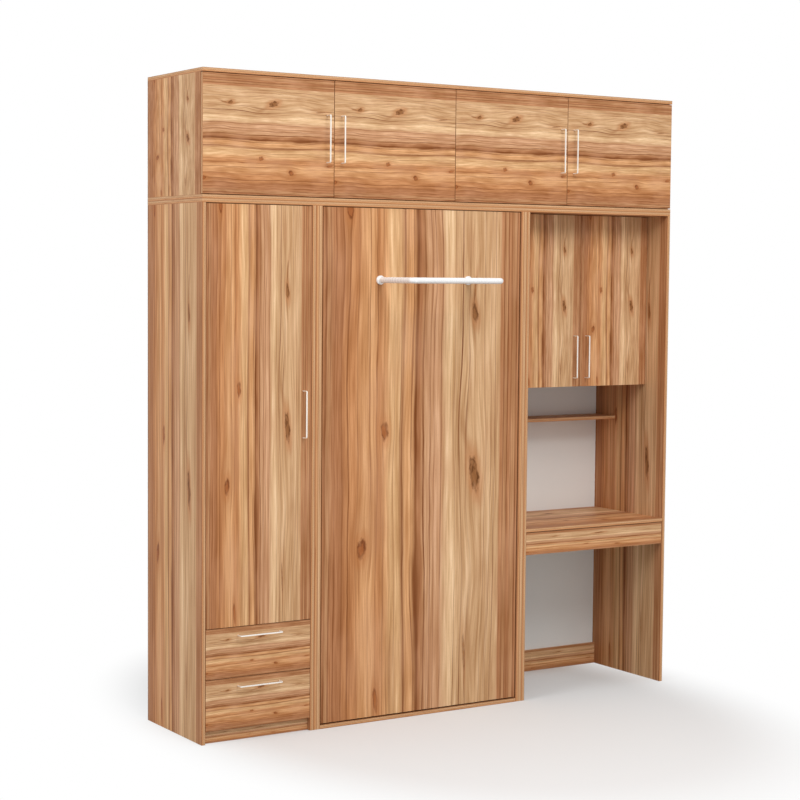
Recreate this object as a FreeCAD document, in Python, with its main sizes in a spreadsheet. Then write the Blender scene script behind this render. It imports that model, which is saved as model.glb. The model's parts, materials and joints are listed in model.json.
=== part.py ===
import FreeCAD, Part
import math
import os

import Sketcher
from FreeCAD import Placement, Rotation, Vector

# Wall bed: a folding single bed between a wardrobe and a desk unit, with a loft cabinet above.
# X runs to the right along the wall, Y into the wall, Z up. The origin is on the floor line
# of the wall, in the middle of the width, so the fronts face -Y.

# Driving sizes, in millimetres
SIZES = {
    # Whole piece
    "overall_width": 2400,
    "overall_height": 2700,
    "overall_depth": 510,
    "board_thickness": 16,
    "back_thickness": 3,
    "front_gap": 3,  # between two fronts, and between a front and the board above or below it
    "side_gap": 2,  # between an inset front and the side board beside it
    "rest_gap": 1.3,  # behind a closed front, clear of the hinge cups' wings
    # Loft cabinet
    "loft_height": 512,
    # Wardrobe
    "wardrobe_width": 516,
    "plinth_height": 51,
    "plinth_setback": 20,
    "lower_front_height": 205.5,
    "upper_front_height": 203.5,
    "hat_shelf_drop": 306,  # from the underside of the top board down to the shelf
    "hanging_rail_radius": 12.5,
    "hanging_rail_drop": 60,
    "rail_socket_radius": 18,
    "rail_socket_length": 12,
    "inner_shelf_setback": 20,
    # Bed case
    "bed_side_thickness": 32,
    "bed_bay_width": 1004,
    "wall_rail_height": 100,
    "wall_hole_radius": 4,
    "wall_hole_spacing": 800,
    # Bed, standing closed
    "bed_panel_gap": 5,
    "bed_panel_recess": 3,
    "bed_panel_lift": 22,
    "mattress_width": 896,
    "mattress_thickness": 160,
    "mattress_edge_radius": 30,
    "mattress_side_gap": 2,
    "mattress_end_gap": 5,
    "soft_gap": 0.3,
    "frame_lift": 22,  # between the lower edges of panel and frame, and below their upper ones
    "frame_drop": 79,
    "frame_rail_thickness": 18,
    "frame_rail_depth": 150,
    "bearer_size": 20,
    "slat_count": 13,
    "slat_width": 80,
    "slat_thickness": 12,
    "slat_end_gap": 2,
    "strap_width": 50,
    "strap_thickness": 2,
    "strap_low_distance": 693,  # from the nearer end of the mattress
    "strap_high_distance": 507,
    # Bed pivot and gas struts
    "pivot_height": 314,
    "pivot_setback": 45,
    "pivot_pin_radius": 10,
    "running_gap": 0.05,
    "rail_bore_gap": 1,
    "pin_end_gap": 2,
    "bracket_thickness": 4,
    "bracket_width": 100,
    "bracket_height": 150,
    "pivot_plate_width": 70,
    "pivot_plate_height": 250,
    "strut_pin_radius": 5,
    "strut_tube_radius": 9,
    "strut_rod_radius": 4,
    "strut_end_radius": 11,
    "strut_end_width": 12,
    "strut_anchor_height": 720,
    "strut_anchor_from_wall": 200,
    "strut_lever": 115,
    "strut_tube_length": 330,
    "strut_rod_overlap": 40,
    "strut_bore_start": 110,
    "strut_bracket_width": 50,
    "strut_bracket_height": 80,
    # Leg of the bed
    "leg_drop": 299,  # below the upper edge of the face panel
    "leg_spacing": 444,
    "leg_tube_radius": 12.5,
    "leg_tube_wall": 1.5,
    "leg_bend_radius": 17.5,
    "leg_floor_gap": 1,
    "flange_radius": 19,
    "flange_thickness": 9,
    "flange_edge_radius": 3,
    # Desk unit
    "desk_height": 770,
    "desk_front_height": 99,
    "desk_front_recess": 2,
    "kneehole_rail_height": 100,
    "open_shelf_height": 1226,
    "open_shelf_depth": 148,
    "cabinet_height": 1388,
    "cabinet_setback": 140,
    # Bow handles
    "handle_hole_spacing": 192,
    "handle_projection": 32,
    "handle_width": 5,
    "handle_strip": 4,
    "handle_bend_radius": 7,
    "handle_inset": 33,
    "wardrobe_handle_inset": 38,
    "cabinet_handle_lift": 38,
    # Cup hinges
    "cup_radius": 17.5,
    "cup_depth": 11.5,
    "cup_edge_distance": 22.5,
    "cup_bore_gap": 0.1,
    "cup_wing_length": 60,
    "cup_wing_width": 22,
    "cup_wing_thickness": 1,
    "hinge_end_distance": 100,
    "hinge_running_gap": 0.3,
    "hinge_plate_thickness": 4,
    "hinge_plate_length": 45,
    "hinge_plate_height": 50,
    "hinge_arm_length": 78,
    "hinge_arm_thickness": 9,
    "hinge_arm_height": 14,
    "hinge_nose_length": 12,
    # Drawers
    "box_board_thickness": 12,
    "box_bottom_thickness": 4,
    "drawer_box_height": 140,
    "drawer_box_length": 450,
    "drawer_box_lift": 20,
    "desk_box_height": 66,
    "desk_box_lift": 14,
    "slide_space": 12.7,
    "slide_height": 45,
    "slide_wall": 1.5,
    "slide_length": 440,
    "slide_running_gap": 0.3,
    # Overrun of cutting tools past the faces they cut
    "overrun": 5,
}

doc = FreeCAD.newDocument("WallBed")
sheet = doc.addObject("Spreadsheet::Sheet", "Sizes")


class Length:
    # A number together with the spreadsheet formula that gives it
    def __init__(self, number, formula):
        self.number = number
        self.formula = formula

    def __add__(self, other):
        other = as_length(other)
        return Length(self.number + other.number, f"({self.formula} + {other.formula})")

    def __sub__(self, other):
        other = as_length(other)
        return Length(self.number - other.number, f"({self.formula} - {other.formula})")

    def __mul__(self, other):
        other = as_length(other)
        return Length(self.number * other.number, f"({self.formula} * {other.formula})")

    def __truediv__(self, other):
        other = as_length(other)
        return Length(self.number / other.number, f"({self.formula} / {other.formula})")

    def __neg__(self):
        return Length(-self.number, f"(0 - {self.formula})")


def as_length(value):
    return value if isinstance(value, Length) else Length(value, str(value))


class Sheet:
    # The driving sizes by name, as lengths that stay bound to their cells
    def __init__(self, sizes):
        for row, (alias, number) in enumerate(sizes.items(), 1):
            cell = f"A{row}"
            sheet.set(cell, str(number))
            sheet.setAlias(cell, alias)
            setattr(self, alias, Length(float(number), f"Sizes.{alias}"))


dim = Sheet(SIZES)
doc.recompute()
nodes = []


# Helpers that make bound objects


def bind(thing, **properties):
    for name, value in properties.items():
        thing.setExpression(name, as_length(value).formula)


def move(thing, x, y, z, rotation=None):
    base = [as_length(place) for place in (x, y, z)]
    where = Vector(*[place.number for place in base])
    thing.Placement = Placement(where, rotation or Rotation())
    for axis, place in zip("xyz", base):
        if place.formula != "0":
            thing.setExpression(f"Placement.Base.{axis}", place.formula)


def keep(thing):
    nodes.append(thing)
    return thing


def block(label, x, y, z):
    # A board or bar between two places on each axis
    box = doc.addObject("Part::Box", label)
    bind(box, Length=x[1] - x[0], Width=y[1] - y[0], Height=z[1] - z[0])
    move(box, x[0], y[0], z[0])
    return box


ALONG_X = Rotation(Vector(0, 1, 0), 90)
ALONG_Y = Rotation(Vector(1, 0, 0), -90)


def rod(label, radius, length, start, rotation=None):
    # A round bar from start, along X, Y or Z by its rotation
    cylinder = doc.addObject("Part::Cylinder", label)
    bind(cylinder, Radius=radius, Height=length)
    move(cylinder, *start, rotation)
    return cylinder


def group(label, pieces):
    # Separate solids that share one node
    compound = doc.addObject("Part::Compound", label)
    compound.Links = pieces
    return compound


def fuse(label, pieces):
    union = doc.addObject("Part::MultiFuse", label)
    union.Shapes = pieces
    return union


def cut(label, base, tools):
    # The base with all the tools taken away
    result = doc.addObject("Part::Cut", label)
    result.Base = base
    result.Tool = tools[0] if len(tools) == 1 else group(f"{label}_tools", tools)
    return result


def origin_plane(body, role):
    return next(plane for plane in body.Origin.OriginFeatures if plane.Role == role)


def sketch_on(body, role, label):
    sketch = body.newObject("Sketcher::SketchObject", label)
    sketch.AttachmentSupport = [(origin_plane(body, role), "")]
    sketch.MapMode = "FlatFace"
    return sketch


ORIGIN = (-1, 1)  # the sketch's origin as a constraint names it, and below its X axis
X_AXIS = -1


def sketch_rectangle(sketch, width, height, offset=None):
    # A rectangle from the sketch's origin, or offset from it
    left = offset[0].number if offset else 0
    low = offset[1].number if offset else 0
    right = left + width.number
    high = low + height.number
    corners = [Vector(left, low), Vector(right, low), Vector(right, high), Vector(left, high)]
    first = sketch.GeometryCount
    for index, corner in enumerate(corners):
        sketch.addGeometry(Part.LineSegment(corner, corners[(index + 1) % len(corners)]), False)
    sides = [first + index for index in range(len(corners))]
    for index, side in enumerate(sides):
        sketch.addConstraint(Sketcher.Constraint("Coincident", side, 2, sides[(index + 1) % len(sides)], 1))
        sketch.addConstraint(Sketcher.Constraint("Vertical" if index % 2 else "Horizontal", side))
    measured = [("DistanceX", sides[0], width), ("DistanceY", sides[1], height)]
    for kind, side, length in measured:
        index = sketch.addConstraint(Sketcher.Constraint(kind, side, 1, side, 2, length.number))
        sketch.setExpression(f"Constraints[{index}]", length.formula)
    if offset:
        for kind, length in zip(("DistanceX", "DistanceY"), offset):
            index = sketch.addConstraint(Sketcher.Constraint(kind, *ORIGIN, sides[0], 1, length.number))
            sketch.setExpression(f"Constraints[{index}]", length.formula)
    else:
        sketch.addConstraint(Sketcher.Constraint("Coincident", sides[0], 1, *ORIGIN))


def sketch_circle(sketch, radius):
    # A circle about the sketch's origin
    circle = sketch.addGeometry(Part.Circle(Vector(), Vector(0, 0, 1), radius.number), False)
    sketch.addConstraint(Sketcher.Constraint("Coincident", circle, 3, *ORIGIN))
    index = sketch.addConstraint(Sketcher.Constraint("Radius", circle, radius.number))
    sketch.setExpression(f"Constraints[{index}]", radius.formula)


def pad(body, sketch, length):
    feature = body.newObject("PartDesign::Pad", f"{sketch.Name}_pad")
    feature.Profile = sketch
    bind(feature, Length=length)
    return feature


def round_edges(body, feature, radius, chosen):
    # A fillet on the edges of a feature that the test picks
    doc.recompute()
    names = [f"Edge{index}" for index, edge in enumerate(feature.Shape.Edges, 1) if chosen(edge)]
    fillet = body.newObject("PartDesign::Fillet", f"{feature.Name}_round")
    fillet.Base = (feature, names)
    bind(fillet, Radius=radius)
    return fillet


# Places that many pieces share

left_x = -dim.overall_width / 2
right_x = dim.overall_width / 2
front_y = -dim.overall_depth
sheet_y = -dim.back_thickness  # front of the back sheets, back edge of the boards
door_back_y = front_y + dim.board_thickness
inner_front_y = door_back_y + dim.rest_gap  # front edge of the boards behind the fronts

loft_floor_z = dim.overall_height - dim.loft_height
loft_low_z = loft_floor_z + dim.board_thickness
loft_high_z = dim.overall_height - dim.board_thickness
unit_top_z = loft_floor_z - dim.board_thickness  # underside of the lower units' top board
door_top_z = unit_top_z - dim.front_gap

wardrobe_right_x = left_x + dim.wardrobe_width
wardrobe_in_x = (left_x + dim.board_thickness, wardrobe_right_x - dim.board_thickness)
bed_in_x = (
    wardrobe_right_x + dim.bed_side_thickness,
    wardrobe_right_x + dim.bed_side_thickness + dim.bed_bay_width,
)
bed_middle_x = bed_in_x[0] + dim.bed_bay_width / 2
desk_left_x = bed_in_x[1] + dim.bed_side_thickness
desk_in_x = (desk_left_x + dim.board_thickness, right_x - dim.board_thickness)

full_depth = (front_y, sheet_y)
inner_depth = (inner_front_y, sheet_y)
sheet_depth = (sheet_y, as_length(0))


def across(middle, width):
    # The two places half a width either side of a middle
    return (middle - width / 2, middle + width / 2)


# Carcass boards


def loft_boards():
    width = (left_x, right_x)
    inside = (loft_low_z, loft_high_z)
    half = dim.board_thickness / 2
    keep(block("loft_bottom_board", width, full_depth, (loft_floor_z, loft_low_z)))
    keep(block("loft_top_board", width, full_depth, (loft_high_z, dim.overall_height)))
    keep(block("loft_left_side", (left_x, left_x + dim.board_thickness), inner_depth, inside))
    keep(block("loft_right_side", (right_x - dim.board_thickness, right_x), inner_depth, inside))
    keep(block("loft_divider", (-half, half), inner_depth, inside))
    keep(block("loft_back_panel", width, sheet_depth, (loft_floor_z, dim.overall_height)))
    keep(block("carcass_top_board", width, full_depth, (unit_top_z, loft_floor_z)))


def unit_sides():
    # Every upright board of the lower units, from the floor to their top board
    uprights = {
        "wardrobe_left_side": (left_x, wardrobe_in_x[0]),
        "wardrobe_right_side": (wardrobe_in_x[1], wardrobe_right_x),
        "bed_case_left_side": (wardrobe_right_x, bed_in_x[0]),
        "bed_case_right_side": (bed_in_x[1], desk_left_x),
        "desk_left_side": (desk_left_x, desk_in_x[0]),
        "desk_right_side": (desk_in_x[1], right_x),
    }
    for label, places in uprights.items():
        keep(block(label, places, full_depth, (as_length(0), unit_top_z)))


# Heights of the wardrobe's fronts, from the floor up
lower_front_z = (
    dim.plinth_height + dim.front_gap,
    dim.plinth_height + dim.front_gap + dim.lower_front_height,
)
upper_front_z = (
    lower_front_z[1] + dim.front_gap,
    lower_front_z[1] + dim.front_gap + dim.upper_front_height,
)
wardrobe_door_z = (upper_front_z[1] + dim.front_gap, door_top_z)
mid_board_z = across(upper_front_z[1] + dim.front_gap / 2, dim.board_thickness)
hat_shelf_top_z = unit_top_z - dim.hat_shelf_drop
hat_shelf_z = (hat_shelf_top_z - dim.board_thickness, hat_shelf_top_z)
hanging_rail_z = hat_shelf_z[0] - dim.hanging_rail_drop


def wardrobe_boards():
    plinth_y = front_y + dim.plinth_setback
    bottom_z = (dim.plinth_height, dim.plinth_height + dim.board_thickness)
    plinth_depth = (plinth_y, plinth_y + dim.board_thickness)
    keep(block("wardrobe_bottom_board", wardrobe_in_x, inner_depth, bottom_z))
    keep(block("wardrobe_mid_board", wardrobe_in_x, inner_depth, mid_board_z))
    keep(block("wardrobe_plinth", wardrobe_in_x, plinth_depth, (as_length(0), dim.plinth_height)))


def hanging_rail():
    # Round rail for clothes between two sockets on the wardrobe's sides
    middle_y = (inner_front_y + sheet_y) / 2
    length = wardrobe_in_x[1] - wardrobe_in_x[0] - dim.rail_socket_length * 2
    bar_x = wardrobe_in_x[0] + dim.rail_socket_length
    pieces = [rod("hanging_bar", dim.hanging_rail_radius, length, (bar_x, middle_y, hanging_rail_z), ALONG_X)]
    for side, place in (("left", wardrobe_in_x[0]), ("right", wardrobe_in_x[1] - dim.rail_socket_length)):
        start = (place, middle_y, hanging_rail_z)
        pieces.append(rod(f"rail_socket_{side}", dim.rail_socket_radius, dim.rail_socket_length, start, ALONG_X))
    keep(group("wardrobe_hanging_rail", pieces))


def inner_shelves():
    depth = (inner_front_y + dim.inner_shelf_setback, sheet_y)
    cabinet_depth = (inner_front_y + dim.cabinet_setback + dim.inner_shelf_setback, sheet_y)
    cabinet_floor_z = dim.cabinet_height + dim.board_thickness
    cabinet_shelf_z = across((cabinet_floor_z + unit_top_z) / 2, dim.board_thickness)
    keep(group("inner_shelves", [
        block("hat_shelf", wardrobe_in_x, depth, hat_shelf_z),
        block("cabinet_shelf", desk_in_x, cabinet_depth, cabinet_shelf_z),
    ]))


def bed_case_boards():
    floor_z = (as_length(0), dim.board_thickness)
    keep(block("bed_case_bottom_board", bed_in_x, full_depth, floor_z))


# Heights of the wall rails behind the bed, and of the screw holes at their middles
rail_front_y = sheet_y - dim.board_thickness
low_rail_z = (dim.board_thickness, dim.board_thickness + dim.wall_rail_height)
high_rail_z = (unit_top_z - dim.wall_rail_height, unit_top_z)
wall_hole_x = across(bed_middle_x, dim.wall_hole_spacing)


def wall_holes(name, heights):
    # Cutters through a rail and the back sheet, for the screws into the wall
    length = dim.board_thickness + dim.back_thickness + dim.overrun * 2
    start_y = rail_front_y - dim.overrun
    return [
        rod(f"{name}_{side}_{index}", dim.wall_hole_radius, length, (x, start_y, (z[0] + z[1]) / 2), ALONG_Y)
        for index, z in enumerate(heights)
        for side, x in zip(("left", "right"), wall_hole_x)
    ]


def back_rails():
    depth = (rail_front_y, sheet_y)
    low = block("low_wall_rail_board", bed_in_x, depth, low_rail_z)
    high = block("high_wall_rail_board", bed_in_x, depth, high_rail_z)
    keep(group("back_rails", [
        cut("low_wall_rail", low, wall_holes("low_rail_hole", [low_rail_z])),
        cut("high_wall_rail", high, wall_holes("high_rail_hole", [high_rail_z])),
        block("kneehole_rail", desk_in_x, depth, (as_length(0), dim.kneehole_rail_height)),
    ]))


def lower_back_panels():
    height = (as_length(0), loft_floor_z)
    bed_sheet = block("bed_sheet_board", (wardrobe_right_x, desk_left_x), sheet_depth, height)
    keep(group("lower_back_panels", [
        block("wardrobe_sheet", (left_x, wardrobe_right_x), sheet_depth, height),
        cut("bed_sheet", bed_sheet, wall_holes("sheet_hole", [low_rail_z, high_rail_z])),
        block("desk_sheet", (desk_left_x, right_x), sheet_depth, height),
    ]))


# Heights and depths of the desk unit
desk_top_z = (dim.desk_height - dim.board_thickness, dim.desk_height)
cabinet_front_y = front_y + dim.cabinet_setback
cabinet_inner_y = cabinet_front_y + dim.board_thickness + dim.rest_gap
cabinet_door_z = (dim.cabinet_height, door_top_z)
desk_front_z = (
    desk_top_z[0] - dim.front_gap - dim.desk_front_height,
    desk_top_z[0] - dim.front_gap,
)


def desk_boards():
    shelf_z = (dim.open_shelf_height - dim.board_thickness, dim.open_shelf_height)
    cabinet_floor_z = (dim.cabinet_height, dim.cabinet_height + dim.board_thickness)
    keep(block("desk_top", desk_in_x, full_depth, desk_top_z))
    keep(block("desk_open_shelf", desk_in_x, (sheet_y - dim.open_shelf_depth, sheet_y), shelf_z))
    keep(block("cabinet_bottom_board", desk_in_x, (cabinet_inner_y, sheet_y), cabinet_floor_z))


# Bow handles: a flat strip bent to a U, its feet on the front

UPRIGHT = Rotation(Vector(0, 0, 1), Vector(0, -1, 0), Vector(1, 0, 0), "XYZ")
LEVEL = Rotation(Vector(1, 0, 0), Vector(0, -1, 0), Vector(0, 0, -1), "XYZ")
handle_length = dim.handle_hole_spacing + dim.handle_strip


def bow_handle(label, x, y, z, rotation):
    # x, y, z is the low corner of the strip's outline, on the front's face
    body = doc.addObject("PartDesign::Body", label)
    outline = sketch_on(body, "XY_Plane", f"{label}_outline")
    sketch_rectangle(outline, handle_length, dim.handle_projection)
    strip = pad(body, outline, dim.handle_width)
    opening = sketch_on(body, "XY_Plane", f"{label}_opening")
    gap = (handle_length - dim.handle_strip * 2, dim.handle_projection - dim.handle_strip + dim.overrun)
    sketch_rectangle(opening, *gap, (dim.handle_strip, -dim.overrun))
    finger_gap = body.newObject("PartDesign::Pocket", f"{label}_finger_gap")
    finger_gap.Profile = opening
    finger_gap.Type = "ThroughAll"
    finger_gap.Reversed = True
    outer_y = dim.handle_projection.number

    def outer_corner(edge):
        upright = abs(edge.tangentAt(edge.FirstParameter).z) > 0.9
        return upright and abs(edge.CenterOfMass.y - outer_y) < dim.handle_strip.number / 2

    def inner_corner(edge):
        inner_y = outer_y - dim.handle_strip.number
        upright = abs(edge.tangentAt(edge.FirstParameter).z) > 0.9
        return upright and abs(edge.CenterOfMass.y - inner_y) < dim.handle_strip.number / 4

    rounded = round_edges(body, finger_gap, dim.handle_bend_radius, outer_corner)
    round_edges(body, rounded, dim.handle_bend_radius - dim.handle_strip, inner_corner)
    move(body, x, y, z, rotation)
    return body


# Doors with cup hinges


def hinge_heights(low, high, count):
    # Middles of the hinges, the end ones a set distance from the door's ends
    first = low + dim.hinge_end_distance
    span = high - low - dim.hinge_end_distance * 2
    return [first + span * index / (count - 1) for index in range(count)]


def hinge_cup(label, x, back_y, z):
    # Cup in the back of the door with its wing plate on the door's face
    start_y = back_y - dim.cup_depth
    wing_y = (back_y, back_y + dim.cup_wing_thickness)
    cup = rod(f"{label}_bowl", dim.cup_radius, dim.cup_depth, (x, start_y, z), ALONG_Y)
    wing = block(f"{label}_wing", across(x, dim.cup_wing_width), wing_y, across(z, dim.cup_wing_length))
    return fuse(label, [cup, wing])


def hinge_arm(label, carrier_x, toward, cup_x, back_y, z):
    # Plate on the carcass, arm along it and nose that ends behind the cup.
    # toward is 1 where the board lies left of the opening and -1 where it lies right of it
    def span(near, far):
        return (near, far) if toward > 0 else (far, near)

    plate_x = carrier_x + dim.hinge_plate_thickness * toward
    arm_x = plate_x + dim.hinge_arm_thickness * toward
    nose_x = cup_x + dim.hinge_nose_length * toward / 2
    nose_y = back_y + dim.cup_wing_thickness + dim.hinge_running_gap
    end_y = nose_y + dim.hinge_arm_length
    height = across(z, dim.hinge_arm_height)
    plate_height = across(z, dim.hinge_plate_height)
    return fuse(label, [
        block(f"{label}_plate", span(carrier_x, plate_x), (end_y - dim.hinge_plate_length, end_y), plate_height),
        block(f"{label}_bar", span(plate_x, arm_x), (nose_y, end_y), height),
        block(f"{label}_nose", span(plate_x, nose_x), (nose_y, nose_y + dim.hinge_nose_length), height),
    ])


hinge_arms = []


def door(label, x, face_y, z, hinged, carrier_x, hinge_count, handle_at, handle_inset):
    # hinged is left or right; handle_at is the middle height of the handle and handle_inset
    # its distance from the door's free edge
    toward = 1 if hinged == "left" else -1
    edge_x = x[0] if hinged == "left" else x[1]
    back_y = face_y + dim.board_thickness
    cup_x = edge_x + dim.cup_edge_distance * toward
    bore_y = back_y - dim.cup_depth - dim.cup_bore_gap
    bore_length = dim.cup_depth + dim.cup_bore_gap + dim.overrun
    bores = []
    fittings = []
    for index, height in enumerate(hinge_heights(*z, hinge_count)):
        name = f"{label}_hinge_{index}"
        bore_radius = dim.cup_radius + dim.cup_bore_gap
        bores.append(rod(f"{name}_bore", bore_radius, bore_length, (cup_x, bore_y, height), ALONG_Y))
        fittings.append(hinge_cup(f"{name}_cup", cup_x, back_y, height))
        hinge_arms.append(hinge_arm(f"{name}_arm", carrier_x, toward, cup_x, back_y, height))
    board = block(f"{label}_board", x, (face_y, back_y), z)
    keep(cut(label, board, bores))
    handle_x = x[1] - handle_inset if hinged == "left" else x[0] + handle_inset
    low_z = handle_at - handle_length / 2
    handle = bow_handle(f"{label}_handle", handle_x - dim.handle_width / 2, face_y, low_z, UPRIGHT)
    keep(group(f"{label}_fittings", [handle] + fittings))


def loft_doors():
    half = dim.board_thickness / 2
    carriers = (left_x + dim.board_thickness, -half, half, right_x - dim.board_thickness)
    width = dim.overall_width / len(carriers)
    height = (loft_low_z + dim.front_gap, loft_high_z - dim.front_gap)
    middle = (height[0] + height[1]) / 2
    for index, carrier_x in enumerate(carriers):
        start = left_x + width * index
        places = (start + dim.front_gap / 2, start + width - dim.front_gap / 2)
        hinged = "right" if index % 2 else "left"
        door(
            f"loft_door_{index + 1}", places, front_y, height, hinged, carrier_x,
            hinge_count=2, handle_at=middle, handle_inset=dim.handle_inset,
        )


wardrobe_front_x = (wardrobe_in_x[0] + dim.side_gap, wardrobe_in_x[1] - dim.side_gap)


def wardrobe_door():
    middle = (wardrobe_door_z[0] + wardrobe_door_z[1]) / 2
    door(
        "wardrobe_door", wardrobe_front_x, front_y, wardrobe_door_z, "left", wardrobe_in_x[0],
        hinge_count=4, handle_at=middle, handle_inset=dim.wardrobe_handle_inset,
    )


def cabinet_doors():
    middle_x = (desk_in_x[0] + desk_in_x[1]) / 2
    half_gap = dim.front_gap / 2
    handle_z = cabinet_door_z[0] + dim.cabinet_handle_lift + handle_length / 2
    pair = {
        "left": (desk_in_x[0] + dim.side_gap, middle_x - half_gap),
        "right": (middle_x + half_gap, desk_in_x[1] - dim.side_gap),
    }
    for (hinged, places), carrier_x in zip(pair.items(), desk_in_x):
        door(
            f"cabinet_door_{hinged}", places, cabinet_front_y, cabinet_door_z, hinged, carrier_x,
            hinge_count=2, handle_at=handle_z, handle_inset=dim.handle_inset,
        )


# Drawers on two-part slides

slide_rails = []


def slide_pair(name, opening_x, start_y, middle_z):
    # Outer channels on the carcass sides; returns the inner members that ride on the box
    outer_z = across(middle_z, dim.slide_height)
    play = dim.slide_wall + dim.slide_running_gap
    inner_z = (outer_z[0] + play, outer_z[1] - play)
    reach_y = (start_y, start_y + dim.slide_length)
    through_y = (start_y - dim.overrun, start_y + dim.slide_length + dim.overrun)
    hollow_z = (outer_z[0] + dim.slide_wall, outer_z[1] - dim.slide_wall)
    members = []
    for side, carrier_x, toward in (("left", opening_x[0], 1), ("right", opening_x[1], -1)):
        def span(near, far):
            near_x = carrier_x + near * toward
            far_x = carrier_x + far * toward
            return (near_x, far_x) if toward > 0 else (far_x, near_x)

        lip = dim.slide_space - dim.slide_running_gap
        bar = block(f"{name}_{side}_bar", span(as_length(0), lip), reach_y, outer_z)
        hollow = block(f"{name}_{side}_hollow", span(dim.slide_wall, lip + dim.overrun), through_y, hollow_z)
        slide_rails.append(cut(f"{name}_{side}_channel", bar, [hollow]))
        members.append(block(f"{name}_{side}_member", span(play, dim.slide_space), reach_y, inner_z))
    return members


def drawer(name, front_x, front_place_y, front_z, opening_x, lift, box_height, handled):
    # Front board, open box behind it, slides at its sides
    back_y = front_place_y + dim.board_thickness
    box_z = (front_z[0] + lift + dim.box_bottom_thickness, front_z[0] + lift + box_height)
    bottom_z = (front_z[0] + lift, box_z[0])
    box_x = (opening_x[0] + dim.slide_space, opening_x[1] - dim.slide_space)
    box_y = (back_y, back_y + dim.drawer_box_length)
    wall = dim.box_board_thickness
    inside_x = (box_x[0] + wall, box_x[1] - wall)
    label = f"{name}_box"
    keep(block(f"{name}_front", front_x, (front_place_y, back_y), front_z))
    keep(group(label, [
        block(f"{label}_left", (box_x[0], inside_x[0]), box_y, box_z),
        block(f"{label}_right", (inside_x[1], box_x[1]), box_y, box_z),
        block(f"{label}_fore", inside_x, (box_y[0], box_y[0] + wall), box_z),
        block(f"{label}_rear", inside_x, (box_y[1] - wall, box_y[1]), box_z),
        block(f"{label}_bottom", box_x, box_y, bottom_z),
    ]))
    middle_z = (bottom_z[0] + box_z[1]) / 2
    slide_start_y = back_y + dim.rest_gap + dim.side_gap
    fittings = slide_pair(name, opening_x, slide_start_y, middle_z)
    if handled:
        low_x = (front_x[0] + front_x[1]) / 2 - handle_length / 2
        top_z = front_z[1] - dim.handle_inset + dim.handle_width / 2
        fittings.append(bow_handle(f"{name}_handle", low_x, front_place_y, top_z, LEVEL))
    keep(group(f"{name}_fittings", fittings))


def drawers():
    box = (dim.drawer_box_lift, dim.drawer_box_height)
    desk_box = (dim.desk_box_lift, dim.desk_box_height)
    desk_front_x = (desk_in_x[0] + dim.side_gap, desk_in_x[1] - dim.side_gap)
    desk_front_y = front_y + dim.desk_front_recess
    drawer("lower_drawer", wardrobe_front_x, front_y, lower_front_z, wardrobe_in_x, *box, True)
    drawer("upper_drawer", wardrobe_front_x, front_y, upper_front_z, wardrobe_in_x, *box, True)
    drawer("desk_drawer", desk_front_x, desk_front_y, desk_front_z, desk_in_x, *desk_box, False)


# The bed, standing closed in its case

bed_face_y = front_y + dim.bed_panel_recess
bed_back_y = bed_face_y + dim.board_thickness
pivot_y = bed_face_y + dim.pivot_setback
bed_panel_z = (dim.bed_panel_lift, door_top_z)
frame_low_z = bed_panel_z[0] + dim.frame_lift
frame_high_z = bed_panel_z[1] - dim.frame_drop
mattress_low_z = frame_low_z + dim.frame_rail_thickness + dim.mattress_end_gap
mattress_high_z = frame_high_z - dim.frame_rail_thickness - dim.mattress_end_gap
mattress_length = mattress_high_z - mattress_low_z
leg_z = bed_panel_z[1] - dim.leg_drop
frame_in_x = across(bed_middle_x, dim.mattress_width + dim.mattress_side_gap * 2)
frame_out_x = (frame_in_x[0] - dim.frame_rail_thickness, frame_in_x[1] + dim.frame_rail_thickness)
frame_y = (bed_back_y, bed_back_y + dim.frame_rail_depth)
slat_y = (
    bed_back_y + dim.bearer_size * 2,
    bed_back_y + dim.bearer_size * 2 + dim.slat_thickness,
)
mattress_y = (slat_y[1] + dim.soft_gap, slat_y[1] + dim.soft_gap + dim.mattress_thickness)

# Each side of the bed: its name, the case's inner face, the frame's outer face and the way inwards
bed_flanks = (
    ("left", bed_in_x[0], frame_out_x[0], 1),
    ("right", bed_in_x[1], frame_out_x[1], -1),
)


def ordered(near, far, toward):
    return (near, far) if toward > 0 else (far, near)


def bed_panel():
    width = (bed_in_x[0] + dim.bed_panel_gap, bed_in_x[1] - dim.bed_panel_gap)
    keep(block("bed_face_panel", width, (bed_face_y, bed_back_y), bed_panel_z))


def bed_frame():
    # Two long rails bored for the pivot pins, two end rails, and bearers for the slats
    pieces = []
    rail_z = (frame_low_z, frame_high_z)
    inner_z = (frame_low_z + dim.frame_rail_thickness, frame_high_z - dim.frame_rail_thickness)
    bearer_y = (slat_y[0] - dim.bearer_size, slat_y[0])
    bore_radius = dim.pivot_pin_radius + dim.rail_bore_gap
    bore_length = dim.frame_rail_thickness + dim.overrun * 2
    for (side, _, outer_x, toward), inner_x in zip(bed_flanks, frame_in_x):
        rail_x = ordered(outer_x, inner_x, toward)
        rail = block(f"side_rail_{side}_board", rail_x, frame_y, rail_z)
        start = (rail_x[0] - dim.overrun, pivot_y, dim.pivot_height)
        bore = rod(f"side_rail_{side}_bore", bore_radius, bore_length, start, ALONG_X)
        pieces.append(cut(f"side_rail_{side}", rail, [bore]))
        bearer_x = ordered(inner_x, inner_x + dim.bearer_size * toward, toward)
        pieces.append(block(f"bearer_{side}", bearer_x, bearer_y, inner_z))
    pieces.append(block("head_rail", frame_in_x, frame_y, (frame_low_z, inner_z[0])))
    pieces.append(block("foot_rail", frame_in_x, frame_y, (inner_z[1], frame_high_z)))
    keep(group("bed_frame", pieces))


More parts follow.
